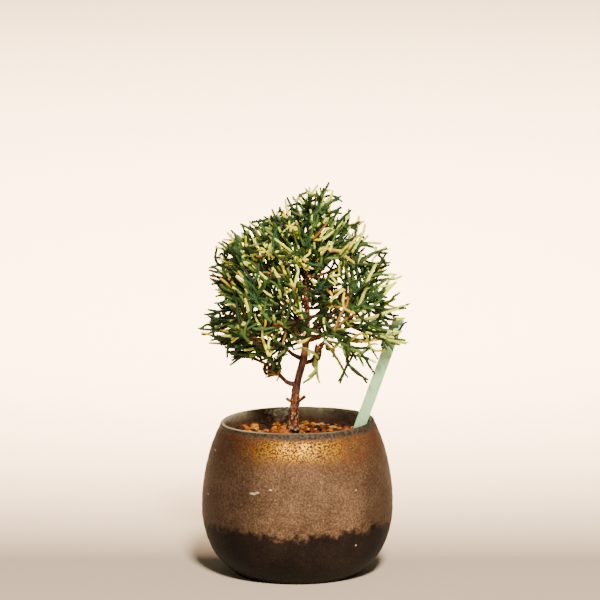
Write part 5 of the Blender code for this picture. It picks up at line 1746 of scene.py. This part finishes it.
stems = plan_stems(limbs)
space = Space(limbs, stems)
places = spread_places(np.random.default_rng(SEED), [np.array(tip, float) for tip in TIPS],
                       SPACING_INSIDE, SPACING_OUTSIDE)
fine_places = spread_places(np.random.default_rng(SEED + 1), places, *FINE_SPACING, fine_room)[len(places):]
owners, fine_owners = [space.owner(place) for place in places], [space.owner(place) for place in fine_places]
lone = lone_shoots(np.random.default_rng(SEED + 2), space)
woody = Cords()
for number, (name, (stem, stem_radii)) in enumerate(stems.items()):
    rng = np.random.default_rng(SEED * 100 + number)
    keeps = MASS_KEEPS.get(name, 1.0)
    # The twigs and fingers of the solids, then the finer twigs.
    taken = Taken([stem], stem_radii)
    nodes = stem_nodes(stem)
    targets = [place for place, owner in zip(places, owners) if owner == name]
    chains = grow_twigs(space, taken, name, stem[0], nodes, targets, TWIG_RADIUS, SPRIG_GAP)
    fingers = grow_fingers(space, taken, name, axes_of(stem, chains), rng, FINGER_RADIUS, SPRIG_GAP)
    if keeps > FINE_MASSES_KEEP:
        taken = Taken(axes_of(stem, chains), CORD_SIZE)
        targets = [place for place, owner in zip(fine_places, fine_owners) if owner == name]
        chains += grow_twigs(space, taken, name, stem[0], nodes, targets, FINE_SIZE, FINE_ROOM)

    # The sprays: the stem and each twig, with the length of foliage that lies beyond each of their places.
    for node in reversed(nodes):
        if node.before is not None:
            stretch = np.linalg.norm(node.place - node.before.place)
            node.before.beyond = max(node.before.beyond, node.beyond + stretch)
    axes = axes_of(stem, chains)
    sprays = [(stem, [nodes[0].beyond] + [node.beyond for node in nodes[:STEM_STATIONS - 1]])]
    for chain, axis in zip(chains, axes[1:]):
        beyond = [node.beyond for node in chain]
        beyond[0] = beyond[1] + np.linalg.norm(axis[1] - axis[0])
        sprays.append((axis, beyond))
    leads = plan_leads(rng, sprays)

    # The cords on each spray: its fingers, its side cords and their spurs.
    cords = [(np.array([root, (root + tip) / 2, tip]), spray)
             for (root, _, tip), spray in fingers if keeps > 0]
    taken = Taken(axes + [cord for cord, _ in cords], CORD_SIZE)
    for spray, (axis, _) in enumerate(sprays):
        line = axis if leads[spray] is None else np.vstack([axis, leads[spray]])
        keep = HANGING_SIDES if hangs(axis[-1]) else keeps
        cords += [(cord, spray) for cord in side_cords(rng, space, taken, name, line, SIDE_FROM, SIDE_PITCH,
                                                       SIDE_LENGTH, keep)]
    for cord, spray in list(cords):
        keep = HANGING_SPURS if hangs(cord[-1]) else SPUR_KEEPS * keeps
        cords += [(spur, spray) for spur in side_cords(rng, space, taken, name, cord, SPUR_FROM, SPUR_PITCH,
                                                       SPUR_LENGTH, keep)]

    shoots = Cords()
    spray_tones = [deal(rng, MASS_GREENS.get(name, SPRAY_GREENS)) for _ in sprays]
    for (axis, beyond), lead, tone in zip(sprays, leads, spray_tones):
        if lead is not None:
            axis = np.vstack([axis, lead])
            beyond = [step + LEAD_BEYOND for step in beyond[:-1]] + [LEAD_BEYOND, 0]
        _, tip_tone, tip_from = cord_tones(rng, tone, axis[-1])
        add_axis(rng, shoots, woody, axis, beyond, tone, (tip_tone, max(tip_from, LEAD_TIP_FROM)))
    for cord, spray in cords:
        tone, tip_tone, tip_from = cord_tones(rng, spray_tones[spray], cord[-1])
        girth = CORD_RADIUS * rng.uniform(*CORD_GIRTHS) * (PALE_GIRTH if tone >= TONES.index("cream") else 1)
        shoots.add(cord, girth * np.array(CORD_TAPER), rng.uniform(0, 1), tone, tip_tone, tip_from)
    for _, tone, tip_tone, line in [shoot for shoot in lone if shoot[0] == name]:
        girth = rng.uniform(*LONE_RADIUS) * np.interp(np.linalg.norm(line[-1] - line[0]), *LONE_SLIMS)
        shoots.add(rooted(nodes, line), girth * np.array(CORD_TAPER), rng.uniform(0, 1), TONES.index(tone),
                   tip_tone and TONES.index(tip_tone), rng.uniform(*LONE_TIP_FROM))
    piece = shoots.piece(name.replace("foliage", "shoots"), leaf_finishes)
    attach(piece, "root")
    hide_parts(name)
twigs = woody.piece("woody_twigs", wood_finishes)
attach(twigs, "root")


# ---- the studio ------------------------------------------------------------------------------------------
# A pale cream floor that runs far back, a soft lamp above and in front of the pot, a little to its right,
# and two warm ones that light the floor behind. The camera looks a little down, two metres off, with a long
# lens.

CAMERA_PLACE = (0.0, -2.080, 0.4575)
CAMERA_AIM = (0.001219, 0.0, 0.12405)
LENS = 282.57
SENSOR = 36.0
FARTHEST_SEEN = 60.0
FLOOR_SIZE = 16.0
SKY = (1.0, 0.95, 0.88, 1.0)
SKY_STRENGTH = 0.15
WARM = (1.0, 0.84, 0.68)
# name: (place, aim, size, watts, colour)
LIGHTS = {
    "key": ((0.22, -1.55, 1.36), (0, 0, 0.1), 0.3, 96, (1.0, 0.94, 0.86)),
    "back": ((0.0, 0.4, 0.75), (0, 1.294, 0.303), 0.8, 140, WARM),
    "far": ((0.0, 1.3, 1.5), (0, 3.3, 0.3), 1.5, 350, WARM),
}


def stand(name, data, place, aim):
    """Set up a lamp or camera at a place, turned to its aim."""
    thing = bpy.data.objects.new(name, data)
    thing.location = place
    thing.rotation_euler = (Vector(aim) - Vector(place)).to_track_quat("-Z", "Y").to_euler()
    bpy.context.scene.collection.objects.link(thing)
    return thing


bpy.ops.mesh.primitive_plane_add(size=FLOOR_SIZE, location=(0, FLOOR_SIZE / 4, 0))
floor = bpy.context.object
floor.name = "studio_floor"
floor.data.materials.append(new_finish("studio_cream", colour(220, 198, 168), 0.9, Specular_IOR_Level=0.1)[0])
floor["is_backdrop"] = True

for name, (place, aim, size, watts, tone) in LIGHTS.items():
    lamp = bpy.data.lights.new(name, "AREA")
    lamp.shape, lamp.size, lamp.energy, lamp.color = "DISK", size, watts, tone
    stand(name, lamp, place, aim)

world = bpy.data.worlds.new("pale_sky")
bpy.context.scene.world = world
world.use_nodes = True
world.node_tree.nodes["Background"].inputs["Color"].default_value = SKY
world.node_tree.nodes["Background"].inputs["Strength"].default_value = SKY_STRENGTH

camera = stand("camera", bpy.data.cameras.new("camera"), CAMERA_PLACE, CAMERA_AIM)
camera.data.lens, camera.data.sensor_width, camera.data.clip_end = LENS, SENSOR, FARTHEST_SEEN
bpy.context.scene.camera = camera

low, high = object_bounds()
